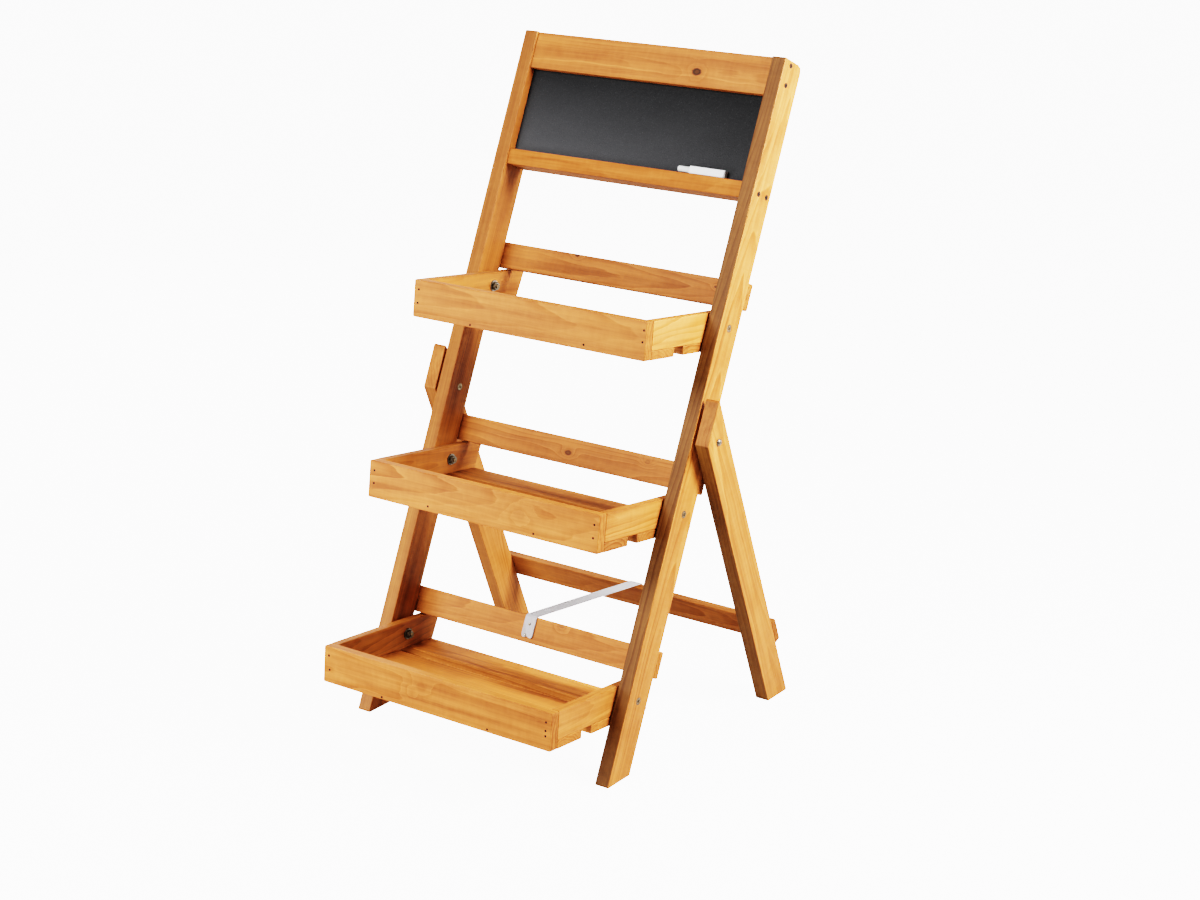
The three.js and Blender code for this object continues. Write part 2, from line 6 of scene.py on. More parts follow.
import bmesh
import bpy
from bpy.props import FloatProperty, FloatVectorProperty, PointerProperty
from mathutils import Matrix, Vector
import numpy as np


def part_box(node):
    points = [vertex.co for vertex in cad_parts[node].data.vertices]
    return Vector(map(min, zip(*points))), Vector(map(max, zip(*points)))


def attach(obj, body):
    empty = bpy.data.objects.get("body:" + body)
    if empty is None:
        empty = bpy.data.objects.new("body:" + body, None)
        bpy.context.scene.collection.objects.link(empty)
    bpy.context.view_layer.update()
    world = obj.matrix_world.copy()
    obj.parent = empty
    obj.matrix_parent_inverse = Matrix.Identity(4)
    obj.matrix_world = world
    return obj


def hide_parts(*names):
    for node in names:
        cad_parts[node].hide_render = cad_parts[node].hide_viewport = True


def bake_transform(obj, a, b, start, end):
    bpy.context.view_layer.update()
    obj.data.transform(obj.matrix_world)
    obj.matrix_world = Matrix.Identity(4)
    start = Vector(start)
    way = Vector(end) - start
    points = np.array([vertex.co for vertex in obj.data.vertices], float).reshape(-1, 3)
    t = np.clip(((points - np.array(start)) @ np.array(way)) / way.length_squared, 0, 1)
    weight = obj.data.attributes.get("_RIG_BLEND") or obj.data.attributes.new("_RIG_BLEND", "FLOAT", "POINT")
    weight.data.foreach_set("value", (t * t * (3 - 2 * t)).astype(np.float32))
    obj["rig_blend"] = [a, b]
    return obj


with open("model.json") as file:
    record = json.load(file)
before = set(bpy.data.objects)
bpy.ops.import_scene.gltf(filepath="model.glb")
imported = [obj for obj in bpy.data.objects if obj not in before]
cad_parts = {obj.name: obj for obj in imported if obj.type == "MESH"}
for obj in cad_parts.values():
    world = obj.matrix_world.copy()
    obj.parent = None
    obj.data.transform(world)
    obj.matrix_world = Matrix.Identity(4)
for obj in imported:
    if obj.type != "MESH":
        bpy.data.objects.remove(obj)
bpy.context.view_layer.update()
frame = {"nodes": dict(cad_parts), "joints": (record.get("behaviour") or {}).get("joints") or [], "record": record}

bl_info = {
    "name": "Folding Plant Stand",
    "version": (1, 0, 0),
    "blender": (4, 5, 0),
    "location": "3D View > Sidebar > Plant Stand",
    "description": "Finishes, fastenings, strap and studio for a folding plant stand",
    "category": "Object",
}

NODES = frame["nodes"]
RECORD = frame["record"]
HINGES = {joint["name"]: joint for joint in frame["joints"]}

MM = 0.001
SIDES = (-1, 1)
TRAYS = ("lower", "middle", "upper")

# Leans and slopes of the open stand, as turns about +X in degrees
STILE_TURN = -24.0
LEG_TURN = 22.0
TRAY_TURN = {"lower": -5.5, "middle": -7.5, "upper": -7.5}

# Places on the front frame, in millimetres: across from the middle, back from the stile fronts, and up
# along the stiles
STILE_OUTER = 174.5
STILE_MIDDLE = 19.0
SLIM_RAIL_BACK = 46.7
LEG_PIVOT_HEIGHT = 386.5


def hinge_point(joint):
    """Where a hinge's axis crosses the middle plane, in metres."""
    return Vector(HINGES[joint]["pos_m"])


def local_frame(turn, origin):
    """The placing of something turned about +X by so many degrees at a point in metres."""
    return Matrix.Translation(origin) @ Matrix.Rotation(math.radians(turn), 4, "X")


def stile_frame():
    """Across, depth back from the stile fronts, height along the stiles, in metres."""
    pivot = Vector((0, STILE_MIDDLE, LEG_PIVOT_HEIGHT)) * MM
    turn = local_frame(STILE_TURN, hinge_point("rear_frame_fold"))
    return turn @ Matrix.Translation(-pivot)


def leg_frame():
    """Across, depth and height along the leg, from the leg pivot, in metres."""
    return local_frame(LEG_TURN, hinge_point("rear_frame_fold"))


def tray_frame(tray):
    """Across, depth and height from a tray's pivot, in metres."""
    return local_frame(TRAY_TURN[tray], hinge_point(f"tray_{tray}_fold"))


# ---------------------------------------------------------------- sizes and colours that a user sets


class PlantStandWood(bpy.types.PropertyGroup):
    """Colours and grain of the stained boards."""

    pale: FloatVectorProperty(
        name="Pale wood", description="Stained colour of the wood between the rings",
        subtype="COLOR", size=3, min=0.0, max=1.0, default=(0.60, 0.193, 0.053))
    band: FloatVectorProperty(
        name="Ring lines", description="Colour of the darker growth rings",
        subtype="COLOR", size=3, min=0.0, max=1.0, default=(0.41, 0.116, 0.024))
    heart: FloatVectorProperty(
        name="Knots", description="Colour at the middle of a knot",
        subtype="COLOR", size=3, min=0.0, max=1.0, default=(0.040, 0.012, 0.0015))
    ring_width: FloatProperty(
        name="Ring width", description="Distance between growth rings",
        unit="LENGTH", min=0.0005, default=0.0042)
    roughness: FloatProperty(
        name="Roughness", description="Roughness of the satin stain",
        min=0.0, max=1.0, default=0.52)


class PlantStandDetails(bpy.types.PropertyGroup):
    """Sizes of the small pieces."""

    nail_radius: FloatProperty(
        name="Nail head", description="Radius of a nail head",
        unit="LENGTH", min=0.0002, default=0.0014)
    screw_radius: FloatProperty(
        name="Screw head", description="Radius of a screw head",
        unit="LENGTH", min=0.0005, default=0.0029)
    strap_width: FloatProperty(
        name="Strap width", description="Width of the limit strap",
        unit="LENGTH", min=0.002, default=0.015)
    strap_thickness: FloatProperty(
        name="Strap thickness", description="Thickness of the limit strap",
        unit="LENGTH", min=0.0003, default=0.0011)
    strap_colour: FloatVectorProperty(
        name="Strap", description="Colour of the webbing",
        subtype="COLOR", size=3, min=0.0, max=1.0, default=(0.60, 0.58, 0.60))
    board_colour: FloatVectorProperty(
        name="Chalkboard", description="Colour of the chalkboard paint",
        subtype="COLOR", size=3, min=0.0, max=1.0, default=(0.0045, 0.0047, 0.0052))


class PlantStandStage(bpy.types.PropertyGroup):
    """Lamps, floor and camera."""

    floor_colour: FloatVectorProperty(
        name="Floor", description="Colour of the floor",
        subtype="COLOR", size=3, min=0.0, max=1.0, default=(0.55, 0.55, 0.55))
    backdrop: FloatProperty(
        name="Backdrop", description="Brightness of the white floor and surroundings as they are seen",
        min=0.0, default=4.2)
    sky: FloatProperty(
        name="Surroundings", description="Strength of the light from the surroundings",
        min=0.0, default=0.105)
    key: FloatProperty(
        name="Key lamp", description="Power of the lamp at the right",
        unit="POWER", min=0.0, default=32.0)
    fill: FloatProperty(
        name="Fill lamp", description="Power of the low lamp at the front left",
        unit="POWER", min=0.0, default=7.8)
    overhead: FloatProperty(
        name="Overhead lamp", description="Power of the lamp above the front",
        unit="POWER", min=0.0, default=50.0)
    back: FloatProperty(
        name="Back lamp", description="Power of the lamp behind",
        unit="POWER", min=0.0, default=18.0)
    card: FloatProperty(
        name="Card", description="Power of the white card that only reflections show, behind at the right",
        unit="POWER", min=0.0, default=7.0)
    lens: FloatProperty(
        name="Lens", description="Focal length of the camera, in millimetres",
        min=10.0, default=70.293)


# ---------------------------------------------------------------- node helpers


# In the finishes, a noise is written as its scale (or its scales along X, Y and Z), its detail and its
# roughness, a range as two values and the two that they are carried to, and a bump as its strength and
# its depth in metres.

# The colour sockets of a Mix node, by their numbers, because its names repeat
MIX_FACTOR = 0
MIX_FIRST = 6
MIX_SECOND = 7
MIX_RESULT = 2


class Tree:
    """Short calls for making and joining the nodes of one node tree."""

    def __init__(self, tree):
        self.nodes = tree.nodes
        self.links = tree.links
        self.nodes.clear()

    def set(self, socket, value):
        """Joins an output to an input, or gives the input a value; a colour is always opaque."""
        if isinstance(value, bpy.types.NodeSocket):
            self.links.new(value, socket)
        elif socket.type == "RGBA":
            socket.default_value = (*value[:3], 1)
        else:
            socket.default_value = value

    def node(self, kind, inputs=(), **settings):
        """A node of a kind, with its settings, and its inputs as values or as sockets to join."""
        made = self.nodes.new(kind)
        for name, value in settings.items():
            setattr(made, name, value)
        for name, value in dict(inputs).items():
            self.set(made.inputs[name], value)
        return made

    def math(self, operation, *values, clamp=False):
        """The result of a Math node."""
        made = self.node("ShaderNodeMath", enumerate(values), operation=operation, use_clamp=clamp)
        return made.outputs[0]

    def vector(self, operation, *values):
        """The Vector Math node itself, because some results are vectors and others values."""
        return self.node("ShaderNodeVectorMath", enumerate(values), operation=operation)

    def parts(self, place):
        """The X, Y and Z of a place."""
        return self.node("ShaderNodeSeparateXYZ", {"Vector": place}).outputs

    def noise(self, place, scale, detail, roughness):
        """A noise value from 0 to 1 at a place, with one scale or with its own along each axis."""
        if isinstance(scale, tuple):
            place = self.vector("MULTIPLY", place, scale).outputs[0]
            scale = 1.0
        made = self.node(
            "ShaderNodeTexNoise",
            {"Vector": place, "Scale": scale, "Detail": detail, "Roughness": roughness})
        return made.outputs["Fac"]

    def ramp(self, value, stops, interpolation="LINEAR"):
        """A value passed through a grey ramp of (position, level) stops."""
        made = self.node("ShaderNodeValToRGB", {"Fac": value})
        made.color_ramp.interpolation = interpolation
        elements = made.color_ramp.elements
        while len(elements) < len(stops):
            elements.new(0.5)
        for element, (position, level) in zip(elements, stops):
            element.position = position
            element.color = (level, level, level, 1)
        return made.outputs["Color"]

    def range(self, value, low, high, to_low, to_high):
        """A value carried from one range to another and held inside it."""
        made = self.node(
            "ShaderNodeMapRange",
            {"Value": value, "From Min": low, "From Max": high, "To Min": to_low, "To Max": to_high})
        return made.outputs["Result"]

    def around(self, level, *pairs):
        """A level moved by values that lie around a half, each by its own weight."""
        total = level - sum(weight for _, weight in pairs) / 2
        for value, weight in pairs:
            total = self.math("MULTIPLY_ADD", value, weight, total)
        return total

    def bell(self, value, fall):
        """1 where a value is 0, falling away on both sides as a bell curve."""
        square = self.math("MULTIPLY", value, value)
        return self.math("EXPONENT", self.math("MULTIPLY", square, -fall))

    def mix(self, factor, first, second, blend="MIX"):
        """Two colours mixed by a factor."""
        made = self.node(
            "ShaderNodeMix", {MIX_FACTOR: factor, MIX_FIRST: first, MIX_SECOND: second},
            data_type="RGBA", blend_type=blend)
        return made.outputs[MIX_RESULT]

    def bump(self, height, strength, depth):
        """The normal that a height gives, with a strength and a depth in metres."""
        made = self.node(
            "ShaderNodeBump", {"Strength": strength, "Distance": depth, "Height": height})
        return made.outputs["Normal"]


def node_group(name, inputs, outputs):
    """A new shader node group with named sockets: its tree helper, its inputs and its output node."""
    group = bpy.data.node_groups.new(name, "ShaderNodeTree")
    for socket, kind, default in inputs:
        made = group.interface.new_socket(socket, in_out="INPUT", socket_type=kind)
        if default is not None:
            made.default_value = default
    for socket, kind in outputs:
        group.interface.new_socket(socket, in_out="OUTPUT", socket_type=kind)
    tree = Tree(group)
    return group, tree, tree.node("NodeGroupInput").outputs, tree.node("NodeGroupOutput").inputs


def feed(tree, shader, **inputs):
    """Sets or joins a shader's inputs, each named with underscores for its spaces."""
    for name, value in inputs.items():
        tree.set(shader.inputs[name.replace("_", " ")], value)


def material(name, **constants):
    """A new material: itself, its tree helper and its Principled shader with constants set."""
    made = bpy.data.materials.new(name)
    made.use_nodes = True
    tree = Tree(made.node_tree)
    shader = tree.node("ShaderNodeBsdfPrincipled")
    tree.node("ShaderNodeOutputMaterial", {"Surface": shader.outputs["BSDF"]})
    feed(tree, shader, **constants)
    return made, tree, shader


def dress(obj, made):
    """Gives an object one material."""
    obj.data.materials.clear()
    obj.data.materials.append(made)


# ---------------------------------------------------------------- wood


FLOAT = "NodeSocketFloat"
VECTOR = "NodeSocketVector"
COLOUR = "NodeSocketColor"

KNOT_LETTERS = ("A", "B")

GRAIN_INPUTS = (
    ("Place", VECTOR, None), ("Facing", VECTOR, None),
    ("Length Axis", VECTOR, None), ("Width Axis", VECTOR, None),
    ("Seed", FLOAT, 0.0), ("Heart", VECTOR, None), ("Drift", FLOAT, 0.05),
    ("Ring Width", FLOAT, 0.004), ("Contrast", FLOAT, 0.4),
    ("Knot A", VECTOR, None), ("Knot A Radius", FLOAT, 0.0), ("Knot A Depth", FLOAT, 1.0),
    ("Knot B", VECTOR, None), ("Knot B Radius", FLOAT, 0.0), ("Knot B Depth", FLOAT, 1.0),
    ("Streak Place", FLOAT, 0.0), ("Streak Width", FLOAT, 0.001), ("Streak Tone", FLOAT, 0.0),
    ("Edge Tone", FLOAT, 1.0), ("Pale", COLOUR, None), ("Band", COLOUR, None),
    ("Knot Colour", COLOUR, None),
)
GRAIN_OUTPUTS = (("Color", COLOUR), ("Gloss Mask", FLOAT), ("Height", FLOAT))

# How far a board's noise is carried off for each unit of its seed
SEED_SHIFT = (1.7, 0.9, 1.3)

# Noise layers of the grain, with their scales along, across and through the board
GRAIN_LAYERS = {
    "rim": ((240.0, 380.0, 40.0), 1.0, 0.5),
    "sway": ((3.6, 24.0, 24.0), 2.0, 0.5),
    "ripple": ((26.0, 130.0, 130.0), 2.0, 0.5),
    "patch": ((2.6, 16.0, 16.0), 2.0, 0.5),
    "fibre": ((10.0, 640.0, 640.0), 3.0, 0.6),
    "thread": ((5.0, 290.0, 290.0), 2.0, 0.5),
    "strand": ((2.6, 120.0, 120.0), 3.0, 0.55),
    "plank": ((1.7, 42.0, 42.0), 2.0, 0.5),
    "cloud": ((12.0, 24.0, 24.0), 2.0, 0.5),
    "blush": ((17.0, 46.0, 31.0), 3.0, 0.5),
    "chatter": ((210.0, 75.0, 75.0), 2.0, 0.5),
    "fleck": ((48.0, 1500.0, 1500.0), 1.0, 0.5),
    "wander": ((9.0, 3.0, 3.0), 2.0, 0.5),
    "fade": ((7.0, 7.0, 7.0), 2.0, 0.5),
}

# Ranges of some layers, of the faces that look along a board's length and its width, and of how strong
# the rings of one year are beside another's
LAYER_RANGES = {
    "patch": (0.35, 0.65, 0.15, 1.0),
    "blush": (0.52, 0.74, 0.0, 1.0),
    "fleck": (0.64, 0.76, 0.0, 1.0),
    "fade": (0.38, 0.55, 0.25, 1.0),
}
END_FACES = (0.75, 0.97, 0.0, 1.0)
NARROW_FACES = (0.55, 0.95, 0.0, 1.0)
YEAR_VIGOUR = (0.0, 1.0, 0.3, 1.0)

# Growth rings: how far noise and a knot bend them in metres, how fast a knot's pull falls away, and how
# much late and early wood there is from one ring to the next
RING_SWAY = 0.020
RING_RIPPLE = 0.0018
KNOT_BEND = 0.009
KNOT_BEND_FALL = 0.12
LATE_WOOD = ((0.0, 0.0), (0.45, 0.15), (0.82, 0.9), (0.92, 1.0), (1.0, 0.1))
EARLY_WOOD = ((0.0, 1.0), (0.10, 0.0), (0.94, 0.0), (1.0, 1.0))

# Knots: their shape along, across and through the board, how uneven their rims are, and their tone from
# the middle out to KNOT_EDGE radii, with a halo beyond
KNOT_SHAPE = (0.7, 1.0, 0.0)
KNOT_RIM = 0.6
KNOT_EDGE = 1.4
KNOT_CORE = ((0.0, 0.80), (0.35, 0.84), (0.60, 1.0), (0.76, 0.80), (1.0, 0.0))
KNOT_HALO = (1.0, 2.4, 0.5, 0.0)
SMALLEST_KNOT = 0.00001

# How far the one long streak wanders across its board, in metres
STREAK_WANDER = 0.022

# How strongly end grain and the blush bring out the ring colour
END_RINGS = 0.95
BLUSH_RINGS = 0.40

# How much each layer moves the brightness of the wood, its gloss and its height
SHADE_WEIGHTS = {
    "fibre": 0.30, "thread": 0.48, "strand": 0.80, "plank": 0.55, "cloud": 0.50, "chatter": 0.26,
}
GLOSS_WEIGHTS = {"fibre": 0.5, "cloud": 0.3}
HEIGHT_WEIGHTS = {"fibre": 0.5, "chatter": 0.25, "strand": 0.3}
EARLY_SHADE = 0.20
FLECK_SHADE = -0.16
END_SHADE = 0.74
DARKEST_SHADE = 0.25
GLOSS_LEVEL = 0.25
END_GLOSS = 0.6
HEIGHT_LEVEL = 0.3
FLECK_HEIGHT = -0.5

# How the stain takes the shade and the narrow faces' tone, which is partly painted shade, as powers by
# colour
STAIN_POWERS = (("Red", 0.85, 1.1), ("Green", 1.0, 0.82), ("Blue", 1.2, 0.85))


def grain_layers(tree, given):
    """The noise layers of one board by name, those with a range carried to it."""
    shift = tree.node(
        "ShaderNodeVectorMath", {0: SEED_SHIFT, "Scale": given["Seed"]}, operation="SCALE")
    seeded = tree.vector("ADD", given["Place"], shift.outputs[0]).outputs[0]
    layers = {name: tree.noise(seeded, *settings) for name, settings in GRAIN_LAYERS.items()}
    for name, limits in LAYER_RANGES.items():
        layers[name] = tree.range(layers[name], *limits)
    return layers


def knot_distance(tree, given, letter, rim):
    """Distance from a knot's middle, in knot radii, with an uneven rim."""
    offset = tree.vector("SUBTRACT", given["Place"], given[f"Knot {letter}"]).outputs[0]
    flat = tree.vector("MULTIPLY", offset, KNOT_SHAPE).outputs[0]
    distance = tree.vector("LENGTH", flat).outputs["Value"]
    radius = tree.math("MAXIMUM", given[f"Knot {letter} Radius"], SMALLEST_KNOT)
    return tree.math("ADD", tree.math("DIVIDE", distance, radius), tree.around(0.0, (rim, KNOT_RIM)))


def growth_rings(tree, given, layers, knots):
    """How much late wood and how much early wood there is at a place, each from 0 to 1."""
    parts = tree.parts(given["Place"])
    heart = tree.parts(given["Heart"])
    across = tree.math("SUBTRACT", parts["Y"], heart["Y"])
    through = tree.math("SUBTRACT", parts["Z"], heart["Z"])
    through = tree.math("MULTIPLY_ADD", parts["X"], given["Drift"], through)
    spoke = tree.node("ShaderNodeCombineXYZ", {"Y": across, "Z": through}).outputs[0]
    radius = tree.vector("LENGTH", spoke).outputs["Value"]
    waves = tree.around(0.0, (layers["sway"], RING_SWAY), (layers["ripple"], RING_RIPPLE))
    bend = tree.bell(tree.math("MINIMUM", *knots), KNOT_BEND_FALL)
    bent = tree.math("MULTIPLY_ADD", bend, KNOT_BEND, tree.math("ADD", radius, waves))
    rings = tree.math("DIVIDE", bent, given["Ring Width"])
    turn = tree.math("FRACT", rings)
    year = tree.node(
        "ShaderNodeTexWhiteNoise", {"W": tree.math("FLOOR", rings)}, noise_dimensions="1D")
    vigour = tree.math("MULTIPLY", layers["patch"], tree.range(year.outputs["Value"], *YEAR_VIGOUR))
    return [
        tree.math("MULTIPLY", tree.ramp(turn, tone, "EASE"), vigour) for tone in (LATE_WOOD, EARLY_WOOD)]


def faces_along(tree, given, axis, limits):
    """1 on the faces that look along one of the board's own axes, either way, and 0 on the others."""
    along_axis = tree.vector("DOT_PRODUCT", given["Facing"], given[axis]).outputs["Value"]
    return tree.range(tree.math("ABSOLUTE", along_axis), *limits)


def streak_and_gap_shade(tree, given, layers):
    """How much the board's one long streak lightens or darkens a place; on some slats it is painted shade beside a
    gap.
    """
    middle = tree.math("ADD", given["Streak Place"], tree.around(0.0, (layers["wander"], STREAK_WANDER)))
    offset = tree.math("SUBTRACT", tree.parts(given["Place"])["Y"], middle)
    line = tree.bell(tree.math("DIVIDE", offset, given["Streak Width"]), 1.0)
    return tree.math("MULTIPLY", tree.math("MULTIPLY", line, layers["fade"]), given["Streak Tone"])


def weighted(layers, weights):
    """Pairs of a layer and its weight."""
    return [(layers[name], weight) for name, weight in weights.items()]


def stained_wood(tree, given, layers, late, early, end):
    """The colour of the wood without its knots."""
    rings = tree.math("MULTIPLY", late, given["Contrast"])
    rings = tree.math("MULTIPLY_ADD", tree.math("MULTIPLY", end, late), END_RINGS, rings)
    rings = tree.math("MULTIPLY_ADD", layers["blush"], BLUSH_RINGS, rings, clamp=True)
    colour = tree.mix(rings, given["Pale"], given["Band"])
    shade = tree.around(1.0, *weighted(layers, SHADE_WEIGHTS))
    shade = tree.math("MULTIPLY_ADD", early, EARLY_SHADE, shade)
    shade = tree.math("MULTIPLY_ADD", layers["fleck"], FLECK_SHADE, shade)
    shade = tree.math("ADD", shade, streak_and_gap_shade(tree, given, layers))
    shade = tree.math("MAXIMUM", shade, DARKEST_SHADE)
    shade = tree.math("MULTIPLY", shade, tree.range(end, 0.0, 1.0, 1.0, END_SHADE))
    # Narrow faces toned by the stain, and on the stiles and rear legs also by painted shade
    edge = faces_along(tree, given, "Width Axis", NARROW_FACES)
    narrow = tree.math("MULTIPLY", edge, tree.math("SUBTRACT", given["Edge Tone"], 1.0))
    narrow = tree.math("ADD", 1.0, narrow)
    stain = tree.node(
        "ShaderNodeCombineColor",
        {name: tree.math("MULTIPLY", tree.math("POWER", shade, dark), tree.math("POWER", narrow, side))
         for name, dark, side in STAIN_POWERS})
    return tree.mix(1.0, colour, stain.outputs["Color"], "MULTIPLY")


def stained_knot(tree, given, letter, colour, distance):
    """A colour with one knot's halo and core laid over it."""
    depth = given[f"Knot {letter} Depth"]
    halo = tree.math("MULTIPLY", tree.range(distance, *KNOT_HALO), depth)
    colour = tree.mix(halo, colour, given["Band"])
    core = tree.ramp(tree.math("DIVIDE", distance, KNOT_EDGE, clamp=True), KNOT_CORE)
    return tree.mix(tree.math("MULTIPLY", core, depth), colour, given["Knot Colour"])


def grain_group():
    """Growth rings, fibres, streaks, knots, end grain and painted shade of one stained board, in its own place."""
    group, tree, given, out = node_group("Board Grain", GRAIN_INPUTS, GRAIN_OUTPUTS)
    layers = grain_layers(tree, given)
    knots = [knot_distance(tree, given, letter, layers["rim"]) for letter in KNOT_LETTERS]
    late, early = growth_rings(tree, given, layers, knots)
    end = faces_along(tree, given, "Length Axis", END_FACES)
    colour = stained_wood(tree, given, layers, late, early, end)
    for letter, distance in zip(KNOT_LETTERS, knots):
        colour = stained_knot(tree, given, letter, colour, distance)
    tree.set(out["Color"], colour)
    gloss = tree.around(GLOSS_LEVEL, *weighted(layers, GLOSS_WEIGHTS))
    tree.set(out["Gloss Mask"], tree.math("MULTIPLY_ADD", end, END_GLOSS, gloss))
    height = tree.around(HEIGHT_LEVEL, *weighted(layers, HEIGHT_WEIGHTS))
    tree.set(out["Height"], tree.math("MULTIPLY_ADD", layers["fleck"], FLECK_HEIGHT, height))
    return group


# A board's own length, width and thickness axes, by the last word of its name
BOARD_AXES = {
    "stile": ((0, 0, 1), (0, 1, 0), (-1, 0, 0)),
    "leg": ((0, 0, 1), (0, 1, 0), (-1, 0, 0)),
    "side": ((0, 1, 0), (0, 0, 1), (1, 0, 0)),
    "board": ((1, 0, 0), (0, 0, 1), (0, -1, 0)),
    "rail": ((1, 0, 0), (0, 0, 1), (0, -1, 0)),
    "ledge": ((1, 0, 0), (0, 0, 1), (0, -1, 0)),
    "slat": ((1, 0, 0), (0, 1, 0), (0, 0, 1)),
}

# Knots on single boards, in millimetres: along the board, across it, the core's radius, and how dark
# the core is from 0 to 1.
KNOTS = {
    "top_rail": ((66.0, -4.5, 3.4, 1.0),),
    "middle_back_rail": ((-3.0, -2.0, 2.4, 0.8), (102.0, 7.5, 2.0, 0.3)),
    "lower_back_rail": ((44.0, 13.5, 2.4, 0.35),),
    "upper_back_rail": ((-55.0, 14.0, 1.7, 0.9), (134.0, 5.0, 1.1, 0.8)),
    "lower_tray_front_board": ((-18.0, 6.0, 4.0, 0.08), (-30.0, -1.0, 3.0, 0.06)),
    "middle_tray_front_board": ((52.0, 1.0, 4.5, 0.12),),
    "upper_tray_rear_slat": ((40.0, 6.0, 3.0, 0.7),),
    "left_rear_leg": ((-210.0, 5.0, 2.6, 0.6),),
}

# One long streak on single boards: its place across the board and its half width in millimetres, and
# how much paler (above 0) or darker it is. The dark streaks on the trays' middle and rear slats are
# painted shade beside the gap between those slats.
STREAKS_AND_GAP_SHADE = {
    "top_rail": (-9.0, 0.8, 0.34),
    "upper_tray_front_board": (6.0, 1.4, 0.18),
    "middle_tray_front_board": (-9.0, 1.2, 0.2),
    "lower_tray_front_board": (-7.0, 3.0, -0.26),
    "lower_tray_middle_slat": (15.0, 6.0, -0.42),
    "lower_tray_rear_slat": (-15.0, 3.0, -0.45),
    "middle_tray_middle_slat": (13.0, 5.0, -0.44),
    "middle_tray_rear_slat": (-12.0, 4.0, -0.44),
    "upper_tray_middle_slat": (10.0, 4.0, -0.4),
    "lower_tray_right_side": (-6.0, 2.2, 0.16),
    "chalk_ledge": (-2.0, 2.0, -0.2),
    "right_stile": (-3.0, 3.0, 0.12),
    "left_stile": (-2.0, 4.0, -0.16),
}

# How light a whole board is beside the others: partly its own tone and partly painted light and shade,
# lighter for the trays' right sides, the lower tray's slats and the lower back rail, where the lamps fall
# on them more, and darker for the middle tray's slats and the rear rail, which lie in shade. And how light
# its narrow faces are beside its wide ones.
BOARD_TONE_AND_SHADE = {
    "middle_tray_front_board": 1.08, "lower_tray_front_board": 1.05, "top_rail": 0.97,
    "lower_tray_front_slat": 1.24, "lower_tray_middle_slat": 1.24, "lower_tray_rear_slat": 1.24,
    "middle_tray_front_slat": 0.85, "middle_tray_middle_slat": 0.85, "middle_tray_rear_slat": 0.85,
    "lower_back_rail": 1.10, "rear_rail": 0.80, "left_rear_leg": 0.95,
    "upper_back_rail": 0.97, "left_stile": 0.93,
    "upper_tray_right_side": 1.12, "middle_tray_right_side": 1.10, "lower_tray_right_side": 1.08,
}
# Narrow faces are darker partly from the stain and partly as painted shade: the stiles' and rear legs' tones are
# set lower where their front faces lie in shade, most on the right stile and right rear leg
EDGE_TONE_AND_SHADE = {"left_stile": 0.78, "right_stile": 0.46, "right_rear_leg": 0.45, "left_rear_leg": 0.8}
USUAL_EDGE_TONE = 0.95

# Specular level of the stain; the ledge's underside is seen at a low angle, where a gloss would whiten it.
GLOSS = {"chalk_ledge": 0.10}
USUAL_GLOSS = 0.24

# How the light that the wood passes on differs from its own colour: its hue, where 0.5 is unchanged,
# and how much of the saturation and brightness it keeps
BOUNCE = {"Hue": 0.525, "Saturation": 0.65, "Value": 0.52}

# How the boards differ: two waves run through them in the order of their names, and each value below is
# its middle and how far a wave moves it. The heart of the tree lies aside and behind, in millimetres.
SWING_STEP = 2.4
LEAN_STEP = 1.7
SEED_START = 0.37
SEED_STEP = 1.13
HEART_ASIDE = (0.0, 14.0)
HEART_BEHIND = (-26.0, -12.0)
DRIFT = (0.035, 0.03)
RING_SPREAD = (1.0, 0.22)
CONTRAST = (0.98, 0.2)

# How far roughness goes below and above the one that is set, and the bump of the grain
SMOOTHER = 0.08
ROUGHER = 0.12
GRAIN_BUMP = (0.32, 0.0004)

# What a board without knots, or without a streak, is given in their place
NO_KNOT = (0.0, 0.0, 0.0, 0.0)
NO_STREAK = (0.0, 1.0, 0.0)


def board_turn(name):
    """How a board's own frame is turned, by the body it belongs to."""
    if name.endswith("_rear_leg") or name == "rear_rail":
        return LEG_TURN
    for tray in TRAYS:
        if name.startswith(f"{tray}_tray_"):
            return TRAY_TURN[tray]
    return STILE_TURN


def moved(middle_and_reach, wave):
    """A value moved from its middle by a wave between -1 and 1."""
    middle, reach = middle_and_reach
    return middle + reach * wave


def board_place(tree, name, where):
    """Object coordinates turned to a board's own axes from its middle, and those axes as columns."""
    axes = Matrix(BOARD_AXES[name.rsplit("_", 1)[-1]]).transposed()
    basis = Matrix.Rotation(math.radians(board_turn(name)), 3, "X") @ axes
    low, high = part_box(name)
    mapping = tree.node(
        "ShaderNodeMapping",
        {"Vector": where.outputs["Object"], "Location": (low + high) / 2, "Rotation": basis.to_euler()},
        vector_type="TEXTURE")
    return mapping.outputs["Vector"], basis


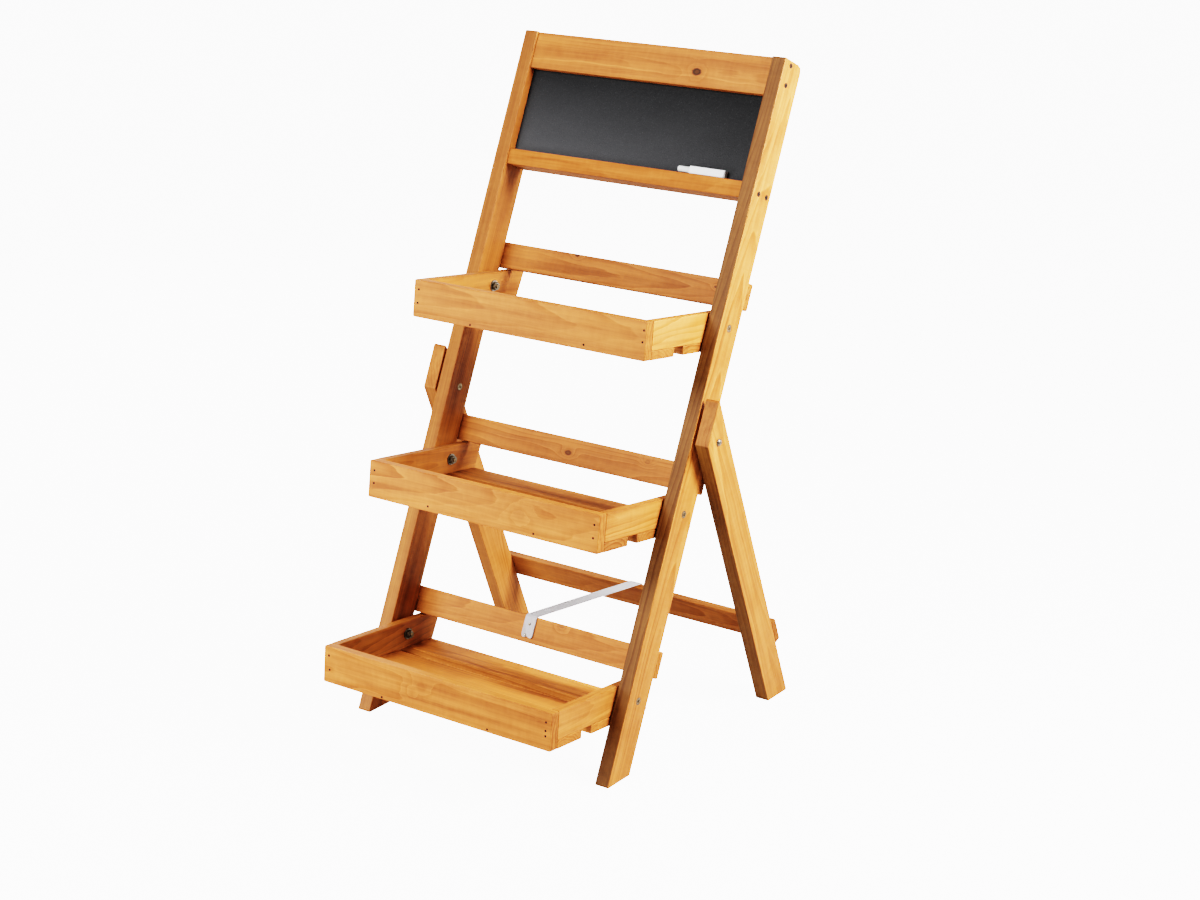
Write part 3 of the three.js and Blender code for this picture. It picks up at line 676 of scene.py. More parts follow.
def board_material(name, group, settings, index):
    """The stained wood of one board, with its grain along its length."""
    made, tree, shader = material(f"wood_{name}", Specular_IOR_Level=GLOSS.get(name, USUAL_GLOSS))
    where = tree.node("ShaderNodeTexCoord")
    place, basis = board_place(tree, name, where)
    # A whole board's tone, partly its own and partly painted light and shade for where it lies on the stand
    tone = BOARD_TONE_AND_SHADE.get(name, 1.0)
    swing = math.sin(index * SWING_STEP)
    lean = math.cos(index * LEAN_STEP)
    streak_place, streak_width, streak_tone = STREAKS_AND_GAP_SHADE.get(name, NO_STREAK)
    values = {
        "Place": place,
        "Facing": where.outputs["Normal"],
        "Length Axis": basis.col[0],
        "Width Axis": basis.col[1],
        "Seed": SEED_START + index * SEED_STEP,
        "Heart": Vector((0, moved(HEART_ASIDE, swing), moved(HEART_BEHIND, lean))) * MM,
        "Drift": moved(DRIFT, swing),
        "Ring Width": settings.ring_width * moved(RING_SPREAD, lean),
        "Contrast": moved(CONTRAST, swing),
        "Streak Place": streak_place * MM,
        "Streak Width": streak_width * MM,
        "Streak Tone": streak_tone,
        "Edge Tone": EDGE_TONE_AND_SHADE.get(name, USUAL_EDGE_TONE),
        "Pale": [tone * part for part in settings.pale],
        "Band": [tone * part for part in settings.band],
        "Knot Colour": settings.heart,
    }
    knots = (*KNOTS.get(name, ()), NO_KNOT, NO_KNOT)
    for letter, (along_board, across_board, core, depth) in zip(KNOT_LETTERS, knots):
        values[f"Knot {letter}"] = Vector((along_board, across_board, 0)) * MM
        values[f"Knot {letter} Radius"] = core * MM
        values[f"Knot {letter} Depth"] = depth
    grain = tree.node("ShaderNodeGroup", values, node_tree=group)
    seen = tree.node("ShaderNodeLightPath").outputs["Is Camera Ray"]
    bounce = tree.node("ShaderNodeHueSaturation", {"Color": grain.outputs["Color"], **BOUNCE})
    rough = settings.roughness
    feed(
        tree, shader,
        Base_Color=tree.mix(seen, bounce.outputs["Color"], grain.outputs["Color"]),
        Roughness=tree.range(grain.outputs["Gloss Mask"], 0.0, 1.0, rough - SMOOTHER, rough + ROUGHER),
        Normal=tree.bump(grain.outputs["Height"], *GRAIN_BUMP))
    return made


class PLANTSTAND_OT_boards(bpy.types.Operator):
    """Stain the boards, each with its own grain"""

    bl_idname = "plant_stand.boards"
    bl_label = "Boards"

    def execute(self, context):
        group = grain_group()
        settings = context.scene.plant_stand_wood
        boards = sorted(part["node"] for part in RECORD["subparts"] if part["material_slot"] == "wood")
        for index, name in enumerate(boards):
            dress(NODES[name], board_material(name, group, settings, index))
        return {"FINISHED"}


# ---------------------------------------------------------------- chalkboard and chalk


def object_place(tree):
    """The Object coordinates of a piece."""
    return tree.node("ShaderNodeTexCoord").outputs["Object"]


def upright_place(tree, turn):
    """Object coordinates turned back upright, for a piece that leans."""
    mapping = tree.node(
        "ShaderNodeMapping",
        {"Vector": object_place(tree), "Rotation": (math.radians(turn), 0, 0)}, vector_type="TEXTURE")
    return mapping.outputs["Vector"]


# Chalkboard paint: its pebbles and the finer tooth on them
PEBBLE_SCALE = 720.0
FINE_TOOTH = (1500.0, 2.0, 0.6)
FINE_TOOTH_HEIGHT = 0.4
BOARD_ROUGHNESS = (0.2, 0.8, 0.42, 0.58)
BOARD_BUMP = (0.9, 0.0004)

# The chalk left on it: wiped streaks, an even mist and specks; and a painted reflection in the chalk's
# colour, paler towards the bottom and the left, that thins out with height and from the left to the
# right, both in metres
CHALK_DUST_AND_SHEEN = (0.75, 0.75, 0.78)
WIPES = ((9.0, 1.0, 26.0), 4.0, 0.6)
WIPE_RANGE = (0.42, 0.75, 0.0, 0.006)
MIST = (620.0, 2.0, 0.6)
MIST_AMOUNT = 0.012
SPECKS = (1250.0, 1.0, 0.5)
SPECK_RANGE = (0.66, 0.78, 0.0, 0.06)
SHEEN_BY_HEIGHT = (0.60, 0.70, 0.10, 0.0)
SHEEN_ACROSS = (-0.16, 0.16, 1.0, 0.5)


def chalk_and_painted_sheen(tree, place):
    """How much chalk is left at a place on the chalkboard, with the painted reflection towards the lower left,
    from 0 to 1.
    """
    wiped = tree.range(tree.noise(place, *WIPES), *WIPE_RANGE)
    haze = tree.math("MULTIPLY_ADD", tree.noise(place, *MIST), MIST_AMOUNT, wiped)
    parts = tree.parts(object_place(tree))
    # Painted reflection: paler towards the bottom and the left of the board
    painted_sheen = tree.math(
        "MULTIPLY", tree.range(parts["Z"], *SHEEN_BY_HEIGHT), tree.range(parts["X"], *SHEEN_ACROSS))
    specks = tree.range(tree.noise(place, *SPECKS), *SPECK_RANGE)
    return tree.math("ADD", tree.math("ADD", haze, painted_sheen), specks)


def chalkboard_material(colour):
    """Satin black paint with a fine pebbled tooth, tiny specks, a trace of wiped chalk and a painted reflection
    towards the lower left.
    """
    made, tree, shader = material("chalkboard_paint", Specular_IOR_Level=0.16)
    place = upright_place(tree, STILE_TURN)
    pebbles = tree.node(
        "ShaderNodeTexVoronoi", {"Vector": place, "Scale": PEBBLE_SCALE}, feature="SMOOTH_F1")
    tooth = tree.noise(place, *FINE_TOOTH)
    height = tree.math("MULTIPLY_ADD", tooth, FINE_TOOTH_HEIGHT, pebbles.outputs["Distance"])
    feed(
        tree, shader,
        Base_Color=tree.mix(chalk_and_painted_sheen(tree, place), colour, CHALK_DUST_AND_SHEEN),
        Roughness=tree.range(tooth, *BOARD_ROUGHNESS),
        Normal=tree.bump(height, *BOARD_BUMP))
    return made


POWDER = (1400.0, 3.0, 0.7)
SCUFFS = ((160.0, 500.0, 500.0), 2.0, 0.5)
SCUFF_RANGE = (0.55, 0.7, 0.0, 0.35)
CHALK_WHITE = (0.86, 0.86, 0.85)
CHALK_SCUFFED = (0.66, 0.66, 0.66)
CHALK_ROUGHNESS = (0.0, 1.0, 0.85, 1.0)
CHALK_BUMP = (0.5, 0.0002)


def chalk_material():
    """Soft white chalk, powdery and a little scuffed."""
    made, tree, shader = material("chalk_white", Specular_IOR_Level=0.2)
    place = object_place(tree)
    powder = tree.noise(place, *POWDER)
    scuffs = tree.range(tree.noise(place, *SCUFFS), *SCUFF_RANGE)
    feed(
        tree, shader,
        Base_Color=tree.mix(scuffs, CHALK_WHITE, CHALK_SCUFFED),
        Roughness=tree.range(powder, *CHALK_ROUGHNESS),
        Normal=tree.bump(powder, *CHALK_BUMP))
    return made


MARKS = ((420.0, 90.0, 90.0), 3.0, 0.5)
MARK_RANGE = (0.45, 0.75, 0.0, 0.25)
HOLDER_WHITE = (0.90, 0.90, 0.90)
HOLDER_MARKED = (0.76, 0.76, 0.78)
HOLDER_ROUGHNESS = (0.3, 0.7, 0.28, 0.42)


def holder_material():
    """Satin white plastic with a trace of handling marks."""
    made, tree, shader = material("holder_plastic", Specular_IOR_Level=0.5)
    marks = tree.noise(object_place(tree), *MARKS)
    feed(
        tree, shader,
        Base_Color=tree.mix(tree.range(marks, *MARK_RANGE), HOLDER_WHITE, HOLDER_MARKED),
        Roughness=tree.range(marks, *HOLDER_ROUGHNESS))
    return made


class PLANTSTAND_OT_chalkboard(bpy.types.Operator):
    """Paint the chalkboard and finish the chalk and its holder"""

    bl_idname = "plant_stand.chalkboard"
    bl_label = "Chalkboard and Chalk"

    def execute(self, context):
        details = context.scene.plant_stand_details
        dress(NODES["chalkboard_panel"], chalkboard_material(details.board_colour))
        dress(NODES["chalk_stick"], chalk_material())
        dress(NODES["chalk_holder"], holder_material())
        return {"FINISHED"}


# ---------------------------------------------------------------- hardware


PLATING = (380.0, 3.0, 0.6)
PLATING_RANGE = (0.35, 0.7, 0.0, 1.0)
PLATING_GRIT = (2600.0, 2.0, 0.6)
GRIT_SPREAD = (0.2, 0.8)
PLATING_BUMP = (0.25, 0.0001)

# The bolts are yellower than the nuts, washers, spacers and tacks: bright and dull plating, roughness
BOLT_FINISH = ((0.44, 0.33, 0.21), (0.22, 0.15, 0.09), 0.36)
NUT_FINISH = ((0.46, 0.41, 0.34), (0.20, 0.165, 0.12), 0.32)


def zinc_material(name, bright, dull, roughness):
    """Zinc-plated steel with mottled plating."""
    made, tree, shader = material(name, Metallic=1.0)
    place = object_place(tree)
    grit = tree.noise(place, *PLATING_GRIT)
    feed(
        tree, shader,
        Base_Color=tree.mix(tree.range(tree.noise(place, *PLATING), *PLATING_RANGE), bright, dull),
        Roughness=tree.range(grit, *GRIT_SPREAD, roughness - SMOOTHER, roughness + ROUGHER),
        Normal=tree.bump(grit, *PLATING_BUMP))
    return made


class PLANTSTAND_OT_hardware(bpy.types.Operator):
    """Plate the bolts, washers, nuts, spacers and tacks"""

    bl_idname = "plant_stand.hardware"
    bl_label = "Bolts and Nuts"

    def execute(self, context):
        yellow = zinc_material("zinc_bolt", *BOLT_FINISH)
        grey = zinc_material("zinc_grey", *NUT_FINISH)
        for part in RECORD["subparts"]:
            if part["material_slot"] == "zinc":
                bolt = part["node"].endswith("_bolt")
                dress(NODES[part["node"]], yellow if bolt else grey)
        return {"FINISHED"}


# ---------------------------------------------------------------- nails and screws


def finish_piece(name, bm, body, made):
    """Turns a bmesh into a piece with a finish, which rides on a body."""
    bmesh.ops.recalc_face_normals(bm, faces=bm.faces)
    mesh = bpy.data.meshes.new(name)
    bm.to_mesh(mesh)
    bm.free()
    piece = bpy.data.objects.new(name, mesh)
    bpy.context.scene.collection.objects.link(piece)
    dress(piece, made)
    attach(piece, body)


HEAD_SIDES = 18

# Nail heads: how far they stand out and reach in; then the top's radius and the width of the rim round
# its dimple, as parts of the head's radius; and the dimple's depth
NAIL_STANDOUT = 0.16 * MM
NAIL_INSIDE = 0.32 * MM
NAIL_TOP = 0.82
DIMPLE_RIM = 0.35
DIMPLE_DEPTH = 0.096 * MM

# Screw heads: how far they stand out, how deep the cross recess is; then, as parts of the head's
# radius, the reach and half width of the cross's arms and the depth of the taper; and how far it narrows
SCREW_STANDOUT = 0.40 * MM
RECESS_DEPTH = 0.34 * MM
ARM_REACH = 0.58
ARM_HALF_WIDTH = 0.15
TAPER_DEPTH = 0.5
TAPER = 0.8


def facing(place, normal, local):
    """The placing of a head at a place in a local frame in millimetres, its face along normal."""
    spin = Vector(normal).to_track_quat("Z", "Y").to_matrix().to_4x4()
    return local @ Matrix.Translation(Vector(place) * MM) @ spin


def unique(items):
    """Items once each, in their order."""
    return list(dict.fromkeys(items))


def vertices_of(faces):
    """The vertices of faces, once each."""
    return unique(vertex for face in faces for vertex in face.verts)


def nail_head(bm, radius, placing):
    """A low conical nail head with a punched dimple, its foot let into the wood."""
    middle = Matrix.Translation((0, 0, (NAIL_STANDOUT - NAIL_INSIDE) / 2))
    verts = bmesh.ops.create_cone(
        bm, cap_ends=True, segments=HEAD_SIDES, radius1=radius, radius2=radius * NAIL_TOP,
        depth=NAIL_STANDOUT + NAIL_INSIDE, matrix=middle)["verts"]
    faces = unique(face for vertex in verts for face in vertex.link_faces)
    cap = [face for face in faces if all(vertex.co.z > 0 for vertex in face.verts)]
    inner = bmesh.ops.inset_region(bm, faces=cap, thickness=radius * DIMPLE_RIM, depth=-DIMPLE_DEPTH)
    verts = unique([*verts, *vertices_of(inner["faces"]), *vertices_of(cap)])
    bmesh.ops.transform(bm, matrix=placing, verts=verts)


def screw_bmesh():
    """A bmesh whose vertices can be marked as the bottom of a recess."""
    bm = bmesh.new()
    bm.verts.layers.float.new("recess")
    return bm


def only_vertices(geometry):
    """The vertices among the results of a bmesh operator."""
    return [item for item in geometry if isinstance(item, bmesh.types.BMVert)]


def open_edges(verts):
    """The edges at vertices that have a face on one side alone."""
    return unique(edge for vertex in verts for edge in vertex.link_edges if edge.is_boundary)


def scored(bm, faces, offsets):
    """Faces cut across both ways at offsets from the middle: the faces that come of it."""
    for axis in ((1, 0, 0), (0, 1, 0)):
        for offset in offsets:
            edges = unique(edge for face in faces for edge in face.edges)
            cut = bmesh.ops.bisect_plane(
                bm, geom=[*faces, *edges, *vertices_of(faces)],
                plane_co=Vector(axis) * offset, plane_no=axis)
            faces = [item for item in cut["geom"] if isinstance(item, bmesh.types.BMFace)]
    return faces


def in_cross(face, reach, half_width):
    """Whether a face lies in an upright cross with arms of a reach and half width."""
    x, y, _ = face.calc_center_median()
    nearer, farther = sorted((abs(x), abs(y)))
    return nearer < half_width and farther < reach


def sink_cross(bm, crossing):
    """Pushes faces in as a recess with walls: the vertices of its bottom, which are marked."""
    sunk = bmesh.ops.extrude_face_region(bm, geom=crossing)
    bottom = only_vertices(sunk["geom"])
    bmesh.ops.translate(bm, verts=bottom, vec=(0, 0, -RECESS_DEPTH))
    bmesh.ops.delete(bm, geom=[face for face in crossing if face.is_valid], context="FACES_ONLY")
    recess = bm.verts.layers.float["recess"]
    for vertex in bottom:
        vertex[recess] = 1.0
    return bottom


def screw_head(bm, radius, placing):
    """A flat countersunk head with a cross recess, let into the wood."""
    reach = radius * ARM_REACH
    half_width = radius * ARM_HALF_WIDTH
    disc = bmesh.ops.create_circle(bm, cap_ends=True, segments=HEAD_SIDES, radius=radius)["verts"]
    faces = unique(face for vertex in disc for face in vertex.link_faces)
    faces = scored(bm, faces, (-reach, -half_width, half_width, reach))
    bottom = sink_cross(bm, [face for face in faces if in_cross(face, reach, half_width)])
    shell = unique([*vertices_of(face for face in faces if face.is_valid), *bottom])
    skirt = bmesh.ops.extrude_edge_only(bm, edges=open_edges(shell))
    low = only_vertices(skirt["geom"])
    bmesh.ops.scale(bm, vec=(TAPER, TAPER, 1), verts=low)
    bmesh.ops.translate(bm, verts=low, vec=(0, 0, -radius * TAPER_DEPTH))
    bmesh.ops.contextual_create(bm, geom=open_edges(low))
    every = shell + low
    bmesh.ops.translate(bm, verts=every, vec=(0, 0, SCREW_STANDOUT))
    bmesh.ops.transform(bm, matrix=placing, verts=every)


# Finishes of the nails and the screws
STEEL_SPREAD = (0.3, 0.7, 0.0, 1.0)
NAIL_TARNISH = (2100.0, 2.0, 0.6)
NAIL_DARK = (0.010, 0.005, 0.003)
NAIL_WORN = (0.026, 0.012, 0.006)
NAIL_ROUGHNESS = (0.2, 0.8, 0.45, 0.7)
SCREW_MOTTLE = (1300.0, 2.0, 0.6)
# The screws are dark partly as painted shade of the holes their heads sit in; the recess colour is painted shade
SCREW_BRIGHT = (0.075, 0.042, 0.024)
SCREW_DULL = (0.035, 0.019, 0.011)
SCREW_RECESS_SHADE = (0.006, 0.004, 0.003)
SCREW_ROUGHNESS = (0.2, 0.8, 0.38, 0.6)


def nail_material():
    """Dark nail heads, dulled by the stain."""
    made, tree, shader = material("nail_steel", Metallic=0.2, Specular_IOR_Level=0.2)
    tarnish = tree.noise(object_place(tree), *NAIL_TARNISH)
    feed(
        tree, shader,
        Base_Color=tree.mix(tree.range(tarnish, *STEEL_SPREAD), NAIL_DARK, NAIL_WORN),
        Roughness=tree.range(tarnish, *NAIL_ROUGHNESS))
    return made


def screw_material():
    """Dark brown screws, partly painted shade of the holes they sit in, with painted shade in the recess."""
    made, tree, shader = material("screw_steel", Metallic=0.4, Specular_IOR_Level=0.3)
    mottle = tree.noise(object_place(tree), *SCREW_MOTTLE)
    plate = tree.mix(tree.range(mottle, *STEEL_SPREAD), SCREW_BRIGHT, SCREW_DULL)
    recess = tree.node("ShaderNodeAttribute", attribute_name="recess").outputs["Fac"]
    feed(
        tree, shader,
        Base_Color=tree.mix(recess, plate, SCREW_RECESS_SHADE),
        Roughness=tree.range(mottle, *SCREW_ROUGHNESS))
    return made


# Ways to face on the stand
FORWARD = (0, -1, 0)
BACKWARD = (0, 1, 0)
DOWNWARD = (0, 0, -1)

# Places on a tray, in millimetres from its pivot
TRAY_FRONT = -131.5
TRAY_BOTTOM = -26.5
TRAY_SIDE_MIDDLE = 150.5

# Nails in the front boards: across, and up from the board's bottom
FRONT_NAILS = {
    "upper": (
        (-149.0, 31.1), (-149.5, 16.1), (-74.7, 2.9), (77.3, 5.5), (151.8, 32.5), (151.1, 20.0)),
    "middle": ((-148.3, 31.0), (-148.2, 16.7), (-70.6, 5.7), (72.5, 5.0), (149.0, 30.5), (148.6, 16.2)),
    "lower": (
        (-148.7, 31.4), (-147.0, 15.2), (-71.5, 2.6), (73.0, 3.5),
        (148.3, 31.1), (148.2, 21.8), (148.4, 16.0)),
}

# Nails under the slats' ends: the slats' middles, and how far each nail is from one
SLAT_CENTRES = (-97.3, -36.3, 24.7)
SLAT_NAIL_REACH = 11.0

# Screws in the outer faces of the stiles: depth and height
STILE_SCREWS = ((14.2, 799.4), (13.3, 777.3), (12.1, 656.2), (29.4, 656.5))

# Screws behind the rails, in pairs: across, and above and below the rail's middle. The rear rail's back
# and middle are measured from the leg pivot.
BACK_RAIL_SCREW = 166.0
REAR_RAIL_SCREW = 186.5
RAIL_SCREW_OFFSET = 7.5
REAR_RAIL_BACK = 27.7
REAR_RAIL_MIDDLE = -292.0


def tray_nails(tray):
    """Where a tray's nails are and which way they face: in the front board and under the slats."""
    front = [
        ((across, TRAY_FRONT, TRAY_BOTTOM + height), FORWARD) for across, height in FRONT_NAILS[tray]]
    under = [
        ((side * TRAY_SIDE_MIDDLE, depth + reach, TRAY_BOTTOM), DOWNWARD)
        for side in SIDES for depth in SLAT_CENTRES for reach in (-SLAT_NAIL_REACH, SLAT_NAIL_REACH)]
    return front + under


def stile_screws():
    """Where the screws in the stiles are and which way they face."""
    return [
        ((side * STILE_OUTER, depth, height), (side, 0, 0))
        for side in SIDES for depth, height in STILE_SCREWS]


def rail_screws(across, back, middle):
    """Where the screws behind one rail are, facing backward."""
    return [
        ((side * across, back, middle + offset), BACKWARD)
        for side in SIDES for offset in (-RAIL_SCREW_OFFSET, RAIL_SCREW_OFFSET)]


def back_rail_screws():
    """Where the screws behind the three back rails are, facing backward."""
    upright = stile_frame().inverted()
    spots = []
    for tray in TRAYS:
        low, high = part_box(f"{tray}_back_rail")
        middle = (upright @ ((low + high) / 2)).z / MM
        spots += rail_screws(BACK_RAIL_SCREW, SLIM_RAIL_BACK, middle)
    return spots


class PLANTSTAND_OT_fastenings(bpy.types.Operator):
    """Drive the nails of the trays and the screws of the rails"""

    bl_idname = "plant_stand.fastenings"
    bl_label = "Nails and Screws"

    def execute(self, context):
        details = context.scene.plant_stand_details
        nail_steel = nail_material()
        screw_steel = screw_material()
        for tray in TRAYS:
            bm = bmesh.new()
            for spot, normal in tray_nails(tray):
                nail_head(bm, details.nail_radius, facing(spot, normal, tray_frame(tray)))
            finish_piece(f"{tray}_tray_nails", bm, f"tray_{tray}", nail_steel)
        rear = rail_screws(REAR_RAIL_SCREW, REAR_RAIL_BACK, REAR_RAIL_MIDDLE)
        for name, body, placing, spots in (
                ("stile_screws", "front_frame", stile_frame(), stile_screws()),
                ("back_rail_screws", "front_frame", stile_frame(), back_rail_screws()),
                ("rear_rail_screws", "rear_frame", leg_frame(), rear)):
            bm = screw_bmesh()
            for spot, normal in spots:
                screw_head(bm, details.screw_radius, facing(spot, normal, placing))
            finish_piece(name, bm, body, screw_steel)
        return {"FINISHED"}


# ---------------------------------------------------------------- limit strap


# The strap's route, in millimetres. Its middle line keeps STRAP_LIFT off what it touches, and it lies
# STRAP_OFFSET to the right of the middle.
STRAP_OFFSET = 2.5
STRAP_LIFT = 0.8
FRONT_TAB = 25.0
REAR_TAB = 18.0
LOWER_RAIL_TOP = 153.43
RAIL_FRONT = 38.2
REAR_RAIL_TOP = -277.0
BEND_RADIUS = 1.6 * MM

# The strap's mesh: cells along it and across it
STRAP_ROWS = 190
STRAP_COLUMNS = 16

# The strap's front end: two rounded lobes with a notch between them, drawn in over END_REACH, and a tab
# whose edges curl up
LOBE_CORNER = 3.4 * MM
NOTCH_DEPTH = 2.2 * MM
NOTCH_WIDTH = 2.0 * MM
END_REACH = 9.0 * MM
TAB_CURL = 0.5 * MM
CURL_POWER = 3


def strap_route():
    """The strap's middle line in the side view, as points in metres, from its front end."""
    front = stile_frame()
    back = leg_frame()
    start = front @ (Vector((0, RAIL_FRONT, LOWER_RAIL_TOP + STRAP_LIFT)) * MM)
    edge = back @ (Vector((0, REAR_RAIL_BACK, REAR_RAIL_TOP)) * MM)
    run = (edge - start).normalized()
    off_edge = Vector((0, -run.z, run.y)) * STRAP_LIFT * MM
    return [
        front @ (Vector((0, RAIL_FRONT - STRAP_LIFT, LOWER_RAIL_TOP - FRONT_TAB)) * MM),
        front @ (Vector((0, RAIL_FRONT - STRAP_LIFT, LOWER_RAIL_TOP)) * MM),
        start,
        edge + off_edge,
        back @ (Vector((0, REAR_RAIL_BACK + STRAP_LIFT, REAR_RAIL_TOP)) * MM),
        back @ (Vector((0, REAR_RAIL_BACK + STRAP_LIFT, REAR_RAIL_TOP - REAR_TAB)) * MM),
    ]


def cut_back(across, half):
    """How far the strap's front end is cut back at a place across it, in metres."""
    corner = max(abs(across) - (half - LOBE_CORNER), 0)
    rounded = LOBE_CORNER - math.sqrt(max(LOBE_CORNER ** 2 - corner ** 2, 0))
    notch = NOTCH_DEPTH * math.exp(-((across / NOTCH_WIDTH) ** 2))
    return rounded + notch


def along(route, distance):
    """The point and direction at a distance along a route of straight runs."""
    left = distance
    for start, stop in zip(route, route[1:]):
        run = (stop - start).length
        if left <= run or stop is route[-1]:
            direction = (stop - start) / run
            return start + direction * left, direction
        left -= run
    raise ValueError("the route has no runs")


# The weave's steps across and along the strap, in metres, and the fuzz, soil and crushing of the cloth
WARP_STEP = 0.0011
WEFT_STEP = 0.0016
FUZZ = ((2500.0, 900.0, 1.0), 2.0, 0.7)
SOIL = ((180.0, 60.0, 1.0), 3.0, 0.5)
SOIL_RANGE = (0.52, 0.75, 0.0, 0.55)
SOIL_COLOUR = (0.34, 0.29, 0.24)
SOIL_ON_SPAN = 0.3
CRUSH = ((330.0, 170.0, 1.0), 2.0, 0.6)
CRUSH_HEIGHT = 2.2

# Where the darker edges start and end, as parts of the width, and where the whiter tab fades out, in
# millimetres along the strap
EDGE_START = 0.40
EDGE_END = 0.47
TAB_FADE = (FRONT_TAB - 2, FRONT_TAB + 1)

# How light the tab is painted beside the cloth, painted light for the lit tab beside the shaded span,
# how dark the weave's hollows are beside the cloth, how much of the hollows' shade the cloth has, and how
# much more the weave, the fuzz and the edges bring
TAB_PAINTED_LIGHT = 1.18
HOLLOW_SHADE = 0.72
CLOTH_LEVEL = 0.25
WEAVE_SHADE = 0.12
FUZZ_SHADE = 0.35
EDGE_SHADE = 0.15
WEBBING_ROUGHNESS = (0.0, 1.0, 0.75, 0.95)

# The cloth's height: its level, and the parts of the weave and the fuzz in it
CLOTH_HEIGHT = 0.5
THREAD_HEIGHT = 0.4
WEBBING_BUMP = (0.6, 0.0004)


def webbing_material(colour, width):
    """Flat woven webbing whose weave follows the strap, crushed on its front tab, which is painted lighter as lit
    beside the shaded span.
    """
    made, tree, shader = material("strap_webbing", Specular_IOR_Level=0.25, Sheen_Weight=0.2)
    strip = tree.node("ShaderNodeAttribute", attribute_name="strip").outputs["Vector"]
    parts = tree.parts(strip)
    warp = tree.math("SINE", tree.math("MULTIPLY", parts["X"], 2 * math.pi / WARP_STEP))
    weft = tree.math("SINE", tree.math("MULTIPLY", parts["Y"], 2 * math.pi / WEFT_STEP))
    weave = tree.math("MULTIPLY", warp, weft)
    fuzz = tree.noise(strip, *FUZZ)
    aside = tree.math("ABSOLUTE", parts["X"])
    edge = tree.range(aside, width * EDGE_START, width * EDGE_END, 0.0, 1.0)
    tab = tree.range(parts["Y"], *(place * MM for place in TAB_FADE), 1.0, 0.0)
    tone = tree.around(CLOTH_LEVEL, (weave, WEAVE_SHADE), (fuzz, FUZZ_SHADE))
    tone = tree.math("MULTIPLY_ADD", edge, EDGE_SHADE, tone, clamp=True)
    # Painted light: the tab lighter than the span, which lies in shade
    light = tree.mix(tab, colour, [min(1.0, part * TAB_PAINTED_LIGHT) for part in colour])
    cloth = tree.mix(tone, light, [part * HOLLOW_SHADE for part in colour])
    soil = tree.range(tree.noise(strip, *SOIL), *SOIL_RANGE)
    soil = tree.math("MULTIPLY", soil, tree.range(tab, 0.0, 1.0, SOIL_ON_SPAN, 1.0))
    height = tree.around(CLOTH_HEIGHT, (weave, THREAD_HEIGHT), (fuzz, THREAD_HEIGHT))
    crush = tree.math("MULTIPLY", tree.noise(strip, *CRUSH), tab)
    height = tree.math("MULTIPLY_ADD", crush, CRUSH_HEIGHT, height)
    feed(
        tree, shader,
        Base_Color=tree.mix(soil, cloth, SOIL_COLOUR),
        Roughness=tree.range(fuzz, *WEBBING_ROUGHNESS),
        Normal=tree.bump(height, *WEBBING_BUMP))
    return made


def strap_point(route, length, distance, side):
    """A point of the strap in the side view, at a distance along it and a side from -1 to 1."""
    point, direction = along(route, distance)
    near, _ = along(route, max(distance - BEND_RADIUS, 0))
    far, _ = along(route, min(distance + BEND_RADIUS, length))
    tab = max(1 - distance / (FRONT_TAB * MM), 0)
    lift = TAB_CURL * tab * abs(side) ** CURL_POWER
    return (near + point + far) / 3 + Vector((0, -direction.z, direction.y)) * lift


def strap_bmesh(route, length, width, thickness):
    """The strap along its route, each vertex marked with its place on the flat strip."""
    half = width / 2
    bm = bmesh.new()
    bmesh.ops.create_grid(bm, x_segments=STRAP_COLUMNS, y_segments=STRAP_ROWS, size=1.0)
    strip = bm.verts.layers.float_vector.new("strip")
    for vertex in bm.verts:
        side, ahead, _ = vertex.co
        across = side * half
        distance = (ahead + 1) / 2 * length
        if distance < END_REACH:
            distance += cut_back(across, half) * (1 - distance / END_REACH)
        point = strap_point(route, length, distance, side)
        vertex[strip] = (across, distance, 0)
        vertex.co = (STRAP_OFFSET * MM + across, point.y, point.z)
    bmesh.ops.recalc_face_normals(bm, faces=bm.faces)
    if sum(face.normal.z for face in bm.faces) < 0:
        bmesh.ops.reverse_faces(bm, faces=bm.faces)
    for vertex in bm.verts:
        vertex.co += vertex.normal * thickness / 2
    bmesh.ops.solidify(bm, geom=bm.faces, thickness=thickness)
    bmesh.ops.recalc_face_normals(bm, faces=bm.faces)
    return bm


class PLANTSTAND_OT_strap(bpy.types.Operator):
    """Stretch the webbing strap between the lower back rail and the rear rail"""

    bl_idname = "plant_stand.strap"
    bl_label = "Limit Strap"

    def execute(self, context):
        details = context.scene.plant_stand_details
        route = strap_route()
        length = sum((stop - start).length for start, stop in zip(route, route[1:]))
        bm = strap_bmesh(route, length, details.strap_width, details.strap_thickness)
        mesh = bpy.data.meshes.new("strap")
        bm.to_mesh(mesh)
        bm.free()
        strap = bpy.data.objects.new("strap", mesh)
        context.scene.collection.objects.link(strap)
        dress(strap, webbing_material(details.strap_colour, details.strap_width))
        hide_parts("limit_strap")
        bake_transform(strap, "front_frame", "rear_frame", start=route[2], end=route[3])
        return {"FINISHED"}


# ---------------------------------------------------------------- stage


# Lamps by name: place, what each shines at, and width, in metres
LAMPS = {
    "key": ((1.05, 0.26, 0.92), (0.17, 0.14, 0.76), 0.45),
    "fill": ((-0.9, -1.05, 0.33), (0.0, 0.0, 0.3), 0.5),
    "overhead": ((-0.6, -1.9, 1.8), (0.0, 0.0, 0.3), 1.0),
    "back": ((-1.7, 1.0, 1.2), (0.0, 0.0, 0.3), 1.0),
    "card": ((1.0, 1.6, 0.42), (0.17, 0.2, 0.55), 0.95),
}
REFLECTED_ONLY = ("card",)

# The floor reaches this far each way, in metres; its paper has a faint shade.
FLOOR_REACH = 12.0
PAPER_CLOUDS = (1.1, 2.0, 0.5)
PAPER_SHADE = 0.985
BLACK = (0.0, 0.0, 0.0)
WHITE = (1.0, 1.0, 1.0)

